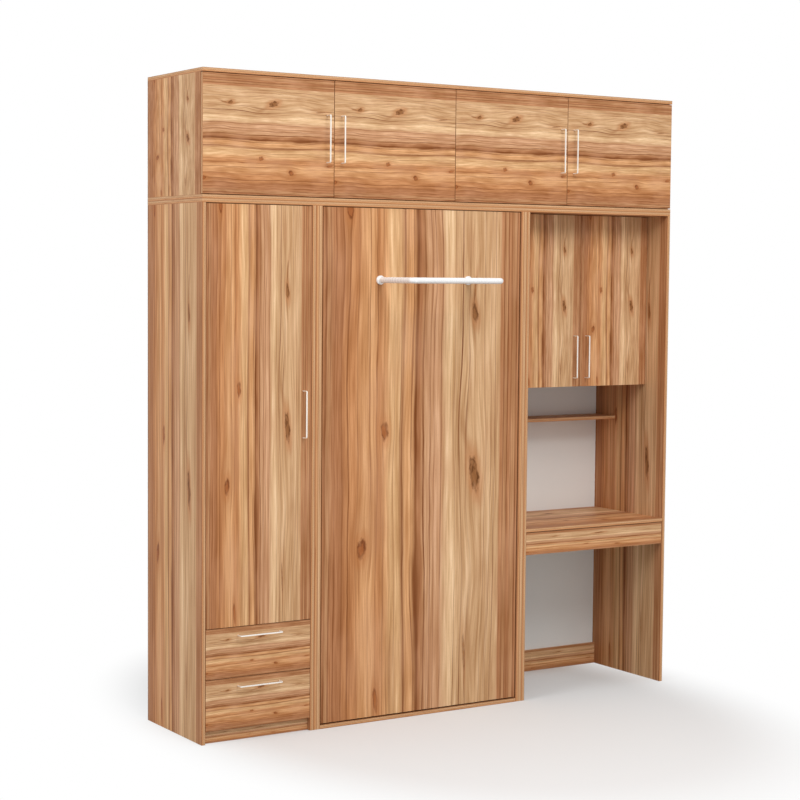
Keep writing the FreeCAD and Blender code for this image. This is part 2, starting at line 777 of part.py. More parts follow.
def bed_slats():
    count = int(dim.slat_count.number)
    first = mattress_low_z + dim.slat_width / 2
    step = (mattress_length - dim.slat_width) / (count - 1)
    width = (frame_in_x[0] + dim.slat_end_gap, frame_in_x[1] - dim.slat_end_gap)
    slats = []
    for index in range(count):
        height = across(first + step * index, dim.slat_width)
        slats.append(block(f"slat_{index}", width, slat_y, height))
    keep(group("bed_slats", slats))


def mattress():
    body = doc.addObject("PartDesign::Body", "mattress")
    outline = sketch_on(body, "XY_Plane", "mattress_outline")
    sketch_rectangle(outline, dim.mattress_width, dim.mattress_thickness)
    core = pad(body, outline, mattress_length)
    round_edges(body, core, dim.mattress_edge_radius, lambda edge: True)
    low_x = frame_in_x[0] + dim.mattress_side_gap
    move(body, low_x, mattress_y[0], mattress_low_z)
    keep(body)


def mattress_straps():
    # Flat bands from rail to rail over the mattress, their ends on the rails' edges
    band_x = (frame_in_x[0] + dim.soft_gap, frame_in_x[1] - dim.soft_gap)
    outer_x = (band_x[0] - dim.strap_thickness, band_x[1] + dim.strap_thickness)
    band_y = mattress_y[1] + dim.soft_gap
    straps = []
    low_z = mattress_low_z + dim.strap_low_distance
    high_z = mattress_high_z - dim.strap_high_distance
    for name, height in (("low", low_z), ("high", high_z)):
        width = across(height, dim.strap_width)
        cut_width = (width[0] - dim.overrun, width[1] + dim.overrun)
        outer = block(f"{name}_strap_band", outer_x, (frame_y[1], band_y + dim.strap_thickness), width)
        inner = block(f"{name}_strap_room", band_x, (frame_y[1] - dim.overrun, band_y), cut_width)
        straps.append(cut(f"{name}_strap", outer, [inner]))
    keep(group("mattress_straps", straps))


# The U-shaped leg on the face panel, which is also the pull of the closed bed

leg_reach = dim.pivot_height - dim.pivot_setback - dim.leg_floor_gap  # panel face to the tube's far side
AWAY = Rotation(Vector(1, 0, 0), Vector(0, 0, 1), Vector(0, -1, 0), "XYZ")


def bed_leg():
    # Tube swept along post, bend, bar, bend and post; the sketch's Y runs out of the panel
    body = doc.addObject("PartDesign::Body", "leg_bar")
    profile = sketch_on(body, "XY_Plane", "leg_tube_section")
    sketch_circle(profile, dim.leg_tube_radius)
    sketch_circle(profile, dim.leg_tube_radius - dim.leg_tube_wall)
    route = sketch_on(body, "XZ_Plane", "leg_route")
    reach = leg_reach - dim.leg_tube_radius
    width, height, bend = dim.leg_spacing.number, reach.number, dim.leg_bend_radius.number
    quarter = math.pi / 2
    up = Vector(0, 0, 1)
    pieces = [
        Part.LineSegment(Vector(0, 0), Vector(0, height - bend)),
        Part.ArcOfCircle(Part.Circle(Vector(bend, height - bend), up, bend), quarter, quarter * 2),
        Part.LineSegment(Vector(bend, height), Vector(width - bend, height)),
        Part.ArcOfCircle(Part.Circle(Vector(width - bend, height - bend), up, bend), 0, quarter),
        Part.LineSegment(Vector(width, height - bend), Vector(width, 0)),
    ]
    for piece in pieces:
        route.addGeometry(piece, False)
    post, first_bend, bar, last_bend, far_post = range(len(pieces))
    for constraint in (
        Sketcher.Constraint("Coincident", post, 1, *ORIGIN),
        Sketcher.Constraint("Vertical", post),
        Sketcher.Constraint("Tangent", post, 2, first_bend, 2),
        Sketcher.Constraint("Tangent", first_bend, 1, bar, 1),
        Sketcher.Constraint("Horizontal", bar),
        Sketcher.Constraint("Tangent", bar, 2, last_bend, 2),
        Sketcher.Constraint("Tangent", last_bend, 1, far_post, 1),
        Sketcher.Constraint("Vertical", far_post),
        Sketcher.Constraint("PointOnObject", far_post, 2, X_AXIS),
        Sketcher.Constraint("Equal", first_bend, last_bend),
    ):
        route.addConstraint(constraint)
    for constraint, length in (
        (Sketcher.Constraint("Radius", first_bend, bend), dim.leg_bend_radius),
        (Sketcher.Constraint("DistanceX", *ORIGIN, far_post, 2, width), dim.leg_spacing),
        (Sketcher.Constraint("DistanceY", *ORIGIN, bar, 1, height), reach),
    ):
        index = route.addConstraint(constraint)
        route.setExpression(f"Constraints[{index}]", length.formula)
    pipe = body.newObject("PartDesign::AdditivePipe", "leg_tube")
    pipe.Profile = profile
    pipe.Spine = (route, [f"Edge{index + 1}" for index in range(len(pieces))])
    move(body, bed_middle_x - dim.leg_spacing / 2, bed_face_y, leg_z, AWAY)
    keep(body)


def leg_flanges():
    # Round sockets that the tube's ends stand in, with a rounded front edge
    flanges = []
    for side, x in zip(("left", "right"), across(bed_middle_x, dim.leg_spacing)):
        body = doc.addObject("PartDesign::Body", f"leg_flange_{side}")
        outline = sketch_on(body, "XY_Plane", f"leg_flange_{side}_outline")
        sketch_circle(outline, dim.flange_radius)
        sketch_circle(outline, dim.leg_tube_radius + dim.running_gap)
        disc = pad(body, outline, dim.flange_thickness)

        def front_rim(edge):
            outer = abs(edge.BoundBox.XLength - dim.flange_radius.number * 2) < dim.flange_edge_radius.number
            return outer and edge.CenterOfMass.z > dim.flange_thickness.number / 2

        round_edges(body, disc, dim.flange_edge_radius, front_rim)
        move(body, x, bed_face_y, leg_z, AWAY)
        flanges.append(body)
    keep(group("leg_flanges", flanges))


# Pivots and gas struts, the same on both flanks of the bed

strut_top_y = -dim.strut_anchor_from_wall
strut_foot_z = dim.pivot_height - dim.strut_lever


def strut_middle(case_x, frame_x):
    return (case_x + frame_x) / 2


def side_brackets():
    # On the case: pivot plates with their pins, and the struts' upper plates with their pins
    pieces = []
    for side, case_x, frame_x, toward in bed_flanks:
        plate_x = case_x + dim.bracket_thickness * toward
        pin_x = frame_x + (dim.frame_rail_thickness - dim.pin_end_gap) * toward
        plate_places = ordered(case_x, plate_x, toward)
        pin_places = ordered(case_x, pin_x, toward)
        pin_start = (pin_places[0], pivot_y, dim.pivot_height)
        height = across(dim.pivot_height, dim.bracket_height)
        depth = (bed_back_y + dim.side_gap, bed_back_y + dim.side_gap + dim.bracket_width)
        pieces.append(fuse(f"pivot_bracket_{side}", [
            block(f"pivot_bracket_{side}_plate", plate_places, depth, height),
            rod(f"pivot_pin_{side}", dim.pivot_pin_radius, pin_places[1] - pin_places[0], pin_start, ALONG_X),
        ]))
        end_x = strut_middle(case_x, frame_x) + dim.strut_end_width * toward / 2
        stub_places = ordered(case_x, end_x, toward)
        stub_start = (stub_places[0], strut_top_y, dim.strut_anchor_height)
        pieces.append(fuse(f"strut_bracket_{side}", [
            block(
                f"strut_bracket_{side}_plate",
                plate_places,
                across(strut_top_y, dim.strut_bracket_width),
                across(dim.strut_anchor_height, dim.strut_bracket_height),
            ),
            rod(f"strut_pin_{side}", dim.strut_pin_radius, stub_places[1] - stub_places[0], stub_start, ALONG_X),
        ]))
    keep(group("bed_side_brackets", pieces))


def pivot_plates():
    # On the bed's rails: bored plates that turn on the pins and carry the struts' studs
    pieces = []
    for side, case_x, frame_x, toward in bed_flanks:
        plate_x = frame_x - dim.bracket_thickness * toward
        plate_places = ordered(plate_x, frame_x, toward)
        middle_z = dim.pivot_height - dim.strut_lever / 2
        plate = block(
            f"pivot_plate_{side}_blank",
            plate_places,
            (frame_y[0] + dim.rest_gap, frame_y[0] + dim.rest_gap + dim.pivot_plate_width),
            across(middle_z, dim.pivot_plate_height),
        )
        stud_end = strut_middle(case_x, frame_x) + (dim.strut_end_width / 2 + dim.soft_gap) * toward
        stud_places = ordered(stud_end, plate_x, toward)
        stud_start = (stud_places[0], pivot_y, strut_foot_z)
        stud_length = stud_places[1] - stud_places[0]
        stud = rod(f"strut_stud_{side}", dim.strut_pin_radius, stud_length, stud_start, ALONG_X)
        bore_start = (plate_places[0] - dim.overrun, pivot_y, dim.pivot_height)
        bore_length = dim.bracket_thickness + dim.overrun * 2
        bore_radius = dim.pivot_pin_radius + dim.running_gap
        bore = rod(f"pivot_plate_{side}_bore", bore_radius, bore_length, bore_start, ALONG_X)
        pieces.append(cut(f"pivot_plate_{side}", fuse(f"pivot_plate_{side}_stud", [plate, stud]), [bore]))
    keep(group("bed_pivot_plates", pieces))


# The strut's line, from its upper pin down to the stud on the bed
strut_run_y = pivot_y - strut_top_y
strut_run_z = strut_foot_z - dim.strut_anchor_height
strut_length = Length(
    math.hypot(strut_run_y.number, strut_run_z.number),
    f"sqrt({strut_run_y.formula}^2 + {strut_run_z.formula}^2)",
)


def inclined(label, radius, length, start, upwards):
    # A round bar along the strut's line, from its upper or its lower end
    sign = -1 if upwards else 1
    cylinder = doc.addObject("Part::Cylinder", label)
    bind(cylinder, Radius=radius, Height=length)
    angle = math.degrees(math.atan2(-strut_run_y.number * sign, strut_run_z.number * sign))
    move(cylinder, *start, Rotation(Vector(1, 0, 0), angle))
    run_y = (-strut_run_y * sign).formula
    run_z = (strut_run_z * sign).formula
    cylinder.setExpression("Placement.Rotation.Angle", f"atan2({run_y}; {run_z})")
    return cylinder


def gas_struts():
    cylinders = []
    rods = []
    for side, case_x, frame_x, toward in bed_flanks:
        middle_x = strut_middle(case_x, frame_x)
        end_x = middle_x - dim.strut_end_width / 2
        top = (middle_x, strut_top_y, dim.strut_anchor_height)
        foot = (middle_x, pivot_y, strut_foot_z)
        top_end = (end_x, strut_top_y, dim.strut_anchor_height)
        foot_end = (end_x, pivot_y, strut_foot_z)
        eye = rod(f"strut_eye_{side}", dim.strut_end_radius, dim.strut_end_width, top_end, ALONG_X)
        tube = inclined(f"strut_tube_{side}", dim.strut_tube_radius, dim.strut_tube_length, top, False)
        bore_radius = dim.strut_rod_radius + dim.running_gap
        bore_length = strut_length - dim.strut_bore_start
        bore = inclined(f"strut_bore_{side}", bore_radius, bore_length, foot, True)
        pin_radius = dim.strut_pin_radius + dim.running_gap
        pin_start = (end_x - dim.overrun, strut_top_y, dim.strut_anchor_height)
        pin_length = dim.strut_end_width + dim.overrun * 2
        pin_bore = rod(f"strut_eye_bore_{side}", pin_radius, pin_length, pin_start, ALONG_X)
        shell = fuse(f"strut_shell_{side}", [eye, tube])
        cylinders.append(cut(f"strut_cylinder_{side}", shell, [bore, pin_bore]))
        rod_length = strut_length - dim.strut_tube_length + dim.strut_rod_overlap
        rods.append(fuse(f"strut_rod_{side}", [
            rod(f"strut_socket_{side}", dim.strut_end_radius, dim.strut_end_width, foot_end, ALONG_X),
            inclined(f"strut_bar_{side}", dim.strut_rod_radius, rod_length, foot, True),
        ]))
    keep(group("gas_strut_cylinders", cylinders))
    keep(group("gas_strut_rods", rods))


loft_boards()
unit_sides()
wardrobe_boards()
hanging_rail()
inner_shelves()
bed_case_boards()
back_rails()
lower_back_panels()
desk_boards()
loft_doors()
wardrobe_door()
cabinet_doors()
drawers()
keep(group("hinge_arms", hinge_arms))
keep(group("drawer_runner_rails", slide_rails))
bed_panel()
bed_frame()
bed_slats()
mattress()
mattress_straps()
bed_leg()
leg_flanges()
side_brackets()
pivot_plates()
gas_struts()
doc.recompute()

failed = [thing.Name for thing in doc.Objects if {"Invalid", "Error"} & set(thing.State)]
if failed:
    raise RuntimeError(f"objects that failed: {failed}")
for node in nodes:
    if node.Shape.isNull() or not node.Shape.isValid() or not node.Shape.Solids:
        raise RuntimeError(f"{node.Label} has no valid solid")

os.makedirs("parts", exist_ok=True)
for node in nodes:
    node.Shape.exportStep(f"parts/{node.Label}.step")
print(f"{len(nodes)} nodes, {sum(len(node.Shape.Solids) for node in nodes)} solids")
print(f"strut length {strut_length.number:.2f}, pivot at y {pivot_y.number:.1f} z {dim.pivot_height.number:.1f}")
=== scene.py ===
import json
from functools import partial
from math import copysign, cos, hypot, pi, radians, sin, sqrt, tan

import bmesh
import bpy
from mathutils import Matrix, Vector

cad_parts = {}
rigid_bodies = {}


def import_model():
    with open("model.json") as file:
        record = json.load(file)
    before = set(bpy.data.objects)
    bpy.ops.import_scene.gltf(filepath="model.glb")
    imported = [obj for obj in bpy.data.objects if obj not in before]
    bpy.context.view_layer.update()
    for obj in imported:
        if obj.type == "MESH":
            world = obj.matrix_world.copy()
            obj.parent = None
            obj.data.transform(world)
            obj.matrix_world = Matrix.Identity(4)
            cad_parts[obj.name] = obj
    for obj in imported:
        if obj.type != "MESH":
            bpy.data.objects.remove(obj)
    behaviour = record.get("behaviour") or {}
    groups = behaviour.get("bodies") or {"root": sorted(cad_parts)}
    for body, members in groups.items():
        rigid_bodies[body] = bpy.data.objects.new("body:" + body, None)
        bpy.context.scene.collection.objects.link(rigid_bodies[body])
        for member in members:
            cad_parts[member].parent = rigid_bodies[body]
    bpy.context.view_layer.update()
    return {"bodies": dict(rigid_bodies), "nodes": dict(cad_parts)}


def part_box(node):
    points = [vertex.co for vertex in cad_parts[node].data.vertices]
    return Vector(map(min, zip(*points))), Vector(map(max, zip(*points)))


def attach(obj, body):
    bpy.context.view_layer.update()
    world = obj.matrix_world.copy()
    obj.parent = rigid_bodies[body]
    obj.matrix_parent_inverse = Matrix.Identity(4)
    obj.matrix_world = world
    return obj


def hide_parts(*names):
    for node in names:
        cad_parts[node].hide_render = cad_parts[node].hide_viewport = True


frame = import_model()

nodes = frame["nodes"]
print("frame loaded:", len(nodes), "nodes")


# Shader helpers. Without a tree, a node goes into that of the first socket among its inputs

def addNode(kind, inputs=None, tree=None, **settings):
    inputs = inputs or {}
    sockets = [value for value in inputs.values() if isinstance(value, bpy.types.NodeSocket)]
    prefix = "" if kind.startswith("NodeGroup") else "ShaderNode"
    node = (tree or sockets[0].id_data).nodes.new(prefix + kind)
    for name, value in settings.items():
        setattr(node, name, value)
    for name, value in inputs.items():
        if value in sockets:
            node.id_data.links.new(value, node.inputs[name])
        else:
            node.inputs[name].default_value = value
    return node


def calc(operation, *values, clamp=False):
    inputs = dict(enumerate(values))
    return addNode("Math", inputs, operation=operation, use_clamp=clamp).outputs[0]


plus, minus = partial(calc, "ADD"), partial(calc, "SUBTRACT")
times, most = partial(calc, "MULTIPLY"), partial(calc, "MAXIMUM")
absolute = partial(calc, "ABSOLUTE")
usual = (0.3, 0.7)  # the range in which noise mostly lies


def wave(place, length):
    # a sine that repeats at that length
    return calc("SINE", times(place, 2 * pi / length))


def ease(value, low, high, start=0, end=1):
    # goes smoothly from start to end while the value goes from low to high
    inputs = {"Value": value, "From Min": low, "From Max": high, "To Min": start, "To Max": end}
    return addNode("MapRange", inputs, interpolation_type="SMOOTHSTEP").outputs["Result"]


def vectorOf(x, y, z):
    return addNode("CombineXYZ", {"X": x, "Y": y, "Z": z}).outputs[0]


def partsOf(vector):
    return addNode("SeparateXYZ", {"Vector": vector}).outputs


def vectorCalc(operation, *values):
    node = addNode("VectorMath", dict(enumerate(values)), operation=operation)
    return node.outputs["Value" if operation == "LENGTH" else "Vector"]


def stretched(vector, scale):
    return addNode("Mapping", {"Vector": vector, "Scale": scale}).outputs[0]


def noise(vector, scale=1, detail=2, roughness=0.5):
    inputs = {"Vector": vector, "Scale": scale, "Detail": detail, "Roughness": roughness}
    return addNode("TexNoise", inputs).outputs["Fac"]


def mixColour(factor, first, second):
    return addNode("Mix", {0: factor, 6: first, 7: second}, data_type="RGBA").outputs[2]


def mixNumber(factor, first, second):
    return addNode("Mix", {0: factor, 2: first, 3: second}).outputs[0]


def tone(colour, share=1):
    # a colour as a screen shows it, 0 to 255, for a shader; a share under 1 darkens it
    parts = [part * share for part in colour]
    linear = [part / 255 / 12.92 if part <= 10 else ((part / 255 + 0.055) / 1.055) ** 2.4 for part in parts]
    return (*linear, 1)


def newMaterial(name):
    # the material and its texture coordinates
    material = bpy.data.materials.new(name)
    material.use_nodes = True
    material.node_tree.nodes.clear()
    return material, addNode("TexCoord", tree=material.node_tree).outputs


def finishMaterial(colour, roughness, height, depth, **fixed):
    # one Principled shader with a relief; fixed holds what is the same all over
    relief = addNode("Bump", {"Height": height, "Distance": depth, "Strength": 0.6}).outputs[0]
    inputs = {"Base Color": colour, "Roughness": roughness, "Normal": relief, **fixed}
    shader = addNode("BsdfPrincipled", inputs)
    addNode("OutputMaterial", {0: shader.outputs[0]})


# Wood laminate: one printed sheet that is stretched over every board, as in the photograph.
# across and along run from 0 to 1 over the sheet

laminate = {
    "tones": {
        "cream": (232, 194, 151), "flax": (212, 171, 129), "straw": (218, 172, 124), "honey": (216, 161, 112),
        "amber": (198, 138, 91), "rose": (208, 159, 120), "tan": (188, 138, 97), "russet": (179, 122, 82),
        "umber": (136, 82, 42),
    },
    # place across and tone there
    "bands": [
        (0, "russet"), (0.025, "tan"), (0.05, "russet"), (0.09, "russet"), (0.125, "amber"),
        (0.16, "amber"), (0.195, "honey"), (0.24, "honey"), (0.275, "amber"), (0.31, "honey"),
        (0.335, "straw"), (0.378, "straw"), (0.395, "tan"), (0.42, "honey"), (0.448, "honey"),
        (0.464, "umber"), (0.48, "russet"), (0.5, "tan"), (0.515, "rose"), (0.585, "rose"),
        (0.61, "flax"), (0.632, "cream"), (0.655, "cream"), (0.69, "flax"), (0.895, "flax"),
        (0.907, "russet"), (0.932, "tan"), (0.952, "russet"), (0.974, "tan"), (1, "russet"),
    ],
    # single dark lines of the grain: place across, half width and darkness
    "lines": [
        (0.012, 0.005, 0.65), (0.036, 0.0035, 0.55), (0.06, 0.003, 0.5), (0.098, 0.003, 0.42),
        (0.128, 0.0035, 0.62), (0.17, 0.003, 0.4), (0.226, 0.0036, 0.46), (0.262, 0.0028, 0.5),
        (0.297, 0.0036, 0.38), (0.352, 0.0028, 0.3), (0.4, 0.0042, 0.7), (0.446, 0.0034, 0.55),
        (0.465, 0.0055, 0.75), (0.499, 0.0034, 0.78), (0.532, 0.0036, 0.62), (0.552, 0.0028, 0.5),
        (0.59, 0.003, 0.6), (0.668, 0.0032, 0.52), (0.706, 0.0036, 0.82), (0.742, 0.0028, 0.48),
        (0.812, 0.0028, 0.5), (0.848, 0.0024, 0.38), (0.872, 0.0028, 0.48), (0.922, 0.003, 0.62),
        (0.943, 0.003, 0.66), (0.962, 0.003, 0.46), (0.988, 0.004, 0.65),
    ],
    # where the grain is pushed aside: place, half sizes and how far
    "pushes": [
        (0.7, 0.42, 0.06, 0.1, 0.028), (0.79, 0.7, 0.05, 0.13, -0.018),
        (0.74, 0.9, 0.045, 0.1, 0.012), (0.56, 0.12, 0.07, 0.13, -0.018),
        (0.24, 0.56, 0.06, 0.12, -0.014), (0.12, 0.3, 0.06, 0.14, 0.01),
    ],
    # knots: place, half sizes, slant, darkness and how far the grain parts
    "knots": [
        (0.766, 0.205, 0.014, 0.019, 0.3, 0.95, 0.8), (0.764, 0.16, 0.005, 0.028, -0.2, 0.6, 0.5),
        (0.768, 0.53, 0.023, 0.034, 0.35, 1, 1), (0.305, 0.435, 0.018, 0.018, 0.1, 0.75, 0.7),
        (0.195, 0.665, 0.022, 0.02, -0.2, 0.85, 0.7), (0.13, 0.004, 0.016, 0.018, 0, 0.75, 0.7),
        (0.268, 0.968, 0.011, 0.024, 0.2, 0.62, 0.6), (0.722, 0.89, 0.007, 0.04, 0.1, 0.5, 0.5),
    ],
    # brown clouds beside the knots: place, half sizes, slant and strength
    "smears": [
        (0.712, 0.44, 0.02, 0.06, 0.6, 0.4), (0.305, 0.395, 0.016, 0.055, 0, 0.3),
        (0.77, 0.19, 0.022, 0.045, 0.1, 0.3), (0.778, 0.128, 0.009, 0.04, -0.2, 0.42),
        (0.76, 0.238, 0.008, 0.035, 0.3, 0.42), (0.79, 0.56, 0.012, 0.05, 0.3, 0.34),
        (0.195, 0.64, 0.045, 0.06, 0, 0.22), (0.805, 0.735, 0.022, 0.04, -0.5, 0.24),
        (0.745, 0.87, 0.016, 0.07, 0.2, 0.3), (0.268, 0.95, 0.014, 0.045, 0, 0.28),
        (0.125, 0.05, 0.02, 0.08, 0, 0.28), (0.745, 0.33, 0.01, 0.06, 0.1, 0.26),
    ],
    "knotTones": [(104, 44, 10), (98, 56, 24)],  # in the amber part and in the pale part
    "heartTones": [(178, 106, 58), (162, 108, 64)],
    "tintTones": {"line": (116, 61, 24), "blush": (206, 154, 118), "smear": (150, 94, 50),
                  "eye": (134, 80, 44), "halo": (182, 112, 62)},
    # streaks and grain: waves across and along, seed, detail, roughness, darkest and lightest shade
    "grain": [((14, 2, 2, 3, 0.6), 0.9, 1.07), ((40, 2.9, 6, 2, 0.6), 0.84, 1.11),
              ((90, 5.5, 7, 2, 0.6), 0.86, 1.09), ((230, 12, 8, 1, 0.6), 0.92, 1.06)],
    "waves": {
        "slow": (2.6, 1.5, 0, 1, 0.5), "quick": (9, 4, 4, 2, 0.5), "small": (34, 20, 5, 2, 0.5),
        "ragged": (55, 55, 9, 3, 0.6), "faded": (34, 34, 12, 2, 0.5), "drift": (7, 4, 41, 3, 0.6),
        "cloud": (7, 5, 21, 3, 0.5), "present": (13, 2, 31, 2, 0.5), "frayed": (60, 14, 33, 2, 0.5),
        "hair": (70, 1.6, 15, 1, 0.5), "blush": (6, 5, 51, 2, 0.5),
    },
    "swings": {"slow": 0.05, "quick": 0.014, "small": 0.003, "ragged": 2.6, "drift": 0.03, "frayed": 0.006},
    # the range of each soft step and what it gives at its two ends
    "steps": {
        "loose": (0.85, 0.902, 1, 0.06), "rim": (0.45, 1.5, 1, 0), "heart": (0.1, 0.55, 0.6, 0),
        "halo": (0.5, 6, 1, 0), "faded": (0.36, 0.56, 0.55, 1), "cloud": (0.25, 0.75, 0.94, 1.06),
        "present": (0.34, 0.58, 0.4, 1.3), "hair": (0.27, 0.34, 0.34, 0), "blush": (0.45, 0.75, 0, 0.3),
        "pale": (0.48, 0.62, 0, 1),
    },
    "parting": {"wide": 2.6, "long": 3.2, "pull": 0.7},  # of the grain round a knot
    "haloShare": 0.45,
    "eye": (0.468, 0.755, 0.045, 0.1),  # place and half sizes
    "eyePull": 0.6, "eyeStain": (0.472, 0.735, 0.016, 0.085), "eyeStrength": 0.55,
    "browning": (1.4, 1.9),  # darker grain is also browner: powers for green and blue
    "lineSoftness": 1.6,
}


def laminateSheet():
    # the printed sheet as a node group, from across and along to its colour and its relief
    tree = bpy.data.node_groups.new("laminateSheet", "ShaderNodeTree")
    for name, way, kind in (("Across", "INPUT", "Float"), ("Along", "INPUT", "Float"),
                            ("Colour", "OUTPUT", "Color"), ("Relief", "OUTPUT", "Float")):
        tree.interface.new_socket(name, in_out=way, socket_type="NodeSocket" + kind)
    across, along = addNode("NodeGroupInput", tree=tree).outputs[:2]
    make = laminate
    parting = make["parting"]

    def field(side, waves):
        wide, long, seed, detail, roughness = waves
        return noise(vectorOf(times(side, wide), times(along, long), seed), 1, detail, roughness)

    def swing(name):
        # to both sides of zero
        return times(minus(field(across, make["waves"][name]), 0.5), make["swings"][name])

    def step(value, name):
        return ease(value, *make["steps"][name])

    def stepOf(side, name):
        return step(field(side, make["waves"][name]), name)

    def away(atAcross, atAlong, slant=0):
        # how far a spot is from the place, across and along
        far = minus(along, atAlong)
        return minus(minus(across, atAcross), times(far, slant)), far

    def squared(off, far, wide, long):
        off, far = calc("DIVIDE", off, wide), calc("DIVIDE", far, long)
        return plus(times(off, off), times(far, far))

    def bell(atAcross, atAlong, wide, long, slant=0):
        # 1 at the place, fading away over the half sizes
        square = squared(*away(atAcross, atAlong, slant), wide, long)
        return calc("EXPONENT", times(square, -1))

    # slow and quick wander of the grain, none in the straight strip at the far edge
    wander = 0
    for name in ("slow", "quick", "small"):
        wander = plus(wander, swing(name))
    for *spot, far in make["pushes"]:
        wander = plus(wander, times(bell(*spot), far))
    loose = step(across, "loose")
    bent = plus(across, times(wander, loose))

    # the grain parts round each knot, which has a ragged rim and a paler heart
    ragged = swing("ragged")
    darkness, heart, halo = 0, 0, 0
    for atAcross, atAlong, wide, long, slant, dark, reach in make["knots"]:
        pull = bell(atAcross, atAlong, wide * parting["wide"] * reach, long * parting["long"] * reach)
        off, far = away(atAcross, atAlong, slant)
        bent = minus(bent, times(times(off, pull), parting["pull"]))
        edge = plus(squared(off, far, wide, long), ragged)
        darkness = most(darkness, times(step(edge, "rim"), dark))
        heart = most(heart, step(edge, "heart"))
        halo = most(halo, times(step(edge, "halo"), dark * make["haloShare"]))
    darkness = times(darkness, stepOf(across, "faded"))
    smear = 0
    for *spot, strength in make["smears"]:
        smear = most(smear, times(bell(*spot), strength))

    # the dark line in the middle swells into a long eye
    swell = times(minus(bent, make["eye"][0]), bell(*make["eye"]))
    bent = minus(bent, times(swell, make["eyePull"]))
    eye = times(bell(*make["eyeStain"]), make["eyeStrength"])

    # the bands drift more than the lines do, which makes patches along them
    drift = times(swing("drift"), loose)
    ramp = addNode("ValToRGB", {"Fac": plus(bent, drift)})
    stops = ramp.color_ramp.elements
    for place, _ in make["bands"][1:-1]:
        stops.new(place)
    for stop, (_, shade) in zip(stops, make["bands"]):
        stop.color = tone(make["tones"][shade])

    shade, relief = 1, 0
    for waves, dark, light in make["grain"]:
        made = field(bent, waves)
        shade = times(shade, ease(made, *usual, dark, light))
        relief = plus(relief, times(made, 1 / len(make["grain"])))
    shade = times(shade, stepOf(across, "cloud"))
    tint = vectorOf(shade, *[calc("POWER", shade, power) for power in make["browning"]])
    colour = vectorCalc("MULTIPLY", ramp.outputs["Color"], tint)

    # single dark lines, each stronger and weaker along its way
    frayed = plus(bent, swing("frayed"))
    line = 0
    for place, half, dark in make["lines"]:
        beside = absolute(minus(frayed, place))
        line = most(line, ease(beside, 0, half * make["lineSoftness"], dark, 0))
    line = calc("MULTIPLY", line, stepOf(bent, "present"), clamp=True)
    line = most(line, stepOf(bent, "hair"))
    tints = {"line": line, "blush": stepOf(across, "blush"), "smear": smear, "eye": eye, "halo": halo}
    for name, amount in tints.items():
        colour = mixColour(amount, colour, tone(make["tintTones"][name]))
    pale = step(across, "pale")
    for amount, (amber, flax) in ((darkness, make["knotTones"]), (heart, make["heartTones"])):
        colour = mixColour(amount, colour, mixColour(pale, tone(amber), tone(flax)))
    addNode("NodeGroupOutput", {"Colour": colour, "Relief": relief})
    return tree


sheetGroup = laminateSheet()
boardMake = {
    "thickness": 0.016,
    "faceShare": 0.7,  # a normal's part from which a face lies that way
    "pores": (60, 1400), "poreStep": (0.26, 0.38, 0.22, 0),
    "poreTone": (124, 76, 42), "roughness": (0.52, 0.42), "relief": 0.0002,
    "gloss": {"Specular IOR Level": 0.12},
}


def grainScale(axis, alongGrain, acrossGrain):
    return tuple(alongGrain if name == axis else acrossGrain for name in "XYZ")


def laminateBoard(name, across, along, thick, size=None):
    # across, along and thick are the board's axes, with a minus where the sheet runs the other way.
    # In a node of several boards the sheet repeats at size, a width and a length
    make = boardMake
    material, texture = newMaterial(name)
    place = partsOf(texture["Object" if size else "Generated"])
    facing = partsOf(texture["Normal"])

    def run(axis, length):
        value = place[axis[-1]]
        if size:
            value = calc("FRACT", calc("DIVIDE", value, length))
        return minus(1, value) if axis.startswith("-") else value

    def faces(axis):
        return calc("GREATER_THAN", absolute(facing[axis[-1]]), make["faceShare"])

    wide, long = size or (1, 1)
    widthRun, lengthRun, thickRun = run(across, wide), run(along, long), run(thick, make["thickness"])
    onEnd = faces(along)
    acrossRun = mixNumber(most(faces(across), onEnd), widthRun, thickRun)
    alongRun = mixNumber(onEnd, lengthRun, widthRun)
    sheet = addNode("Group", {"Across": acrossRun, "Along": alongRun}, node_tree=sheetGroup).outputs
    poreScale = grainScale(along[-1], *make["pores"])
    pores = ease(noise(stretched(texture["Object"], poreScale), detail=1), *make["poreStep"])
    colour = mixColour(pores, sheet["Colour"], tone(make["poreTone"]))
    roughness = ease(sheet["Relief"], *usual, *make["roughness"])
    finishMaterial(colour, roughness, sheet["Relief"], make["relief"], **make["gloss"])
    return material


def named(*endings):
    return [name for name in nodes if name.endswith(endings)]


def dress(names, material):
    for name in names:
        slots = nodes[name].data.materials
        slots.clear()
        slots.append(material)


# axes of the board, the size at which the sheet repeats, and the nodes
boards = {
    "StandingFront": (("X", "-Z", "Y"), named("wardrobe_door", "_door_left", "_door_right", "face_panel")),
    "LyingFront": (("Z", "X", "Y"), named("drawer_front", "plinth", "door_1", "door_2", "door_3", "door_4")),
    "SideBoard": (("-Y", "-Z", "X"), named("_side", "_divider")),
    "LevelBoard": (("Y", "X", "Z"), named("_board", "desk_top", "open_shelf")),
    "RailBoard": (("Z", "X", "Y", (0.1, 0.8)), ["back_rails"]),
    "ShelfBoard": (("Y", "X", "Z", (0.5, 0.8)), ["inner_shelves"]),
}
for look, (axes, names) in boards.items():
    dress(names, laminateBoard("laminate" + look, *axes))
print("laminate on", sum(len(names) for _, names in boards.values()), "nodes")


# Metals, boards and sheets

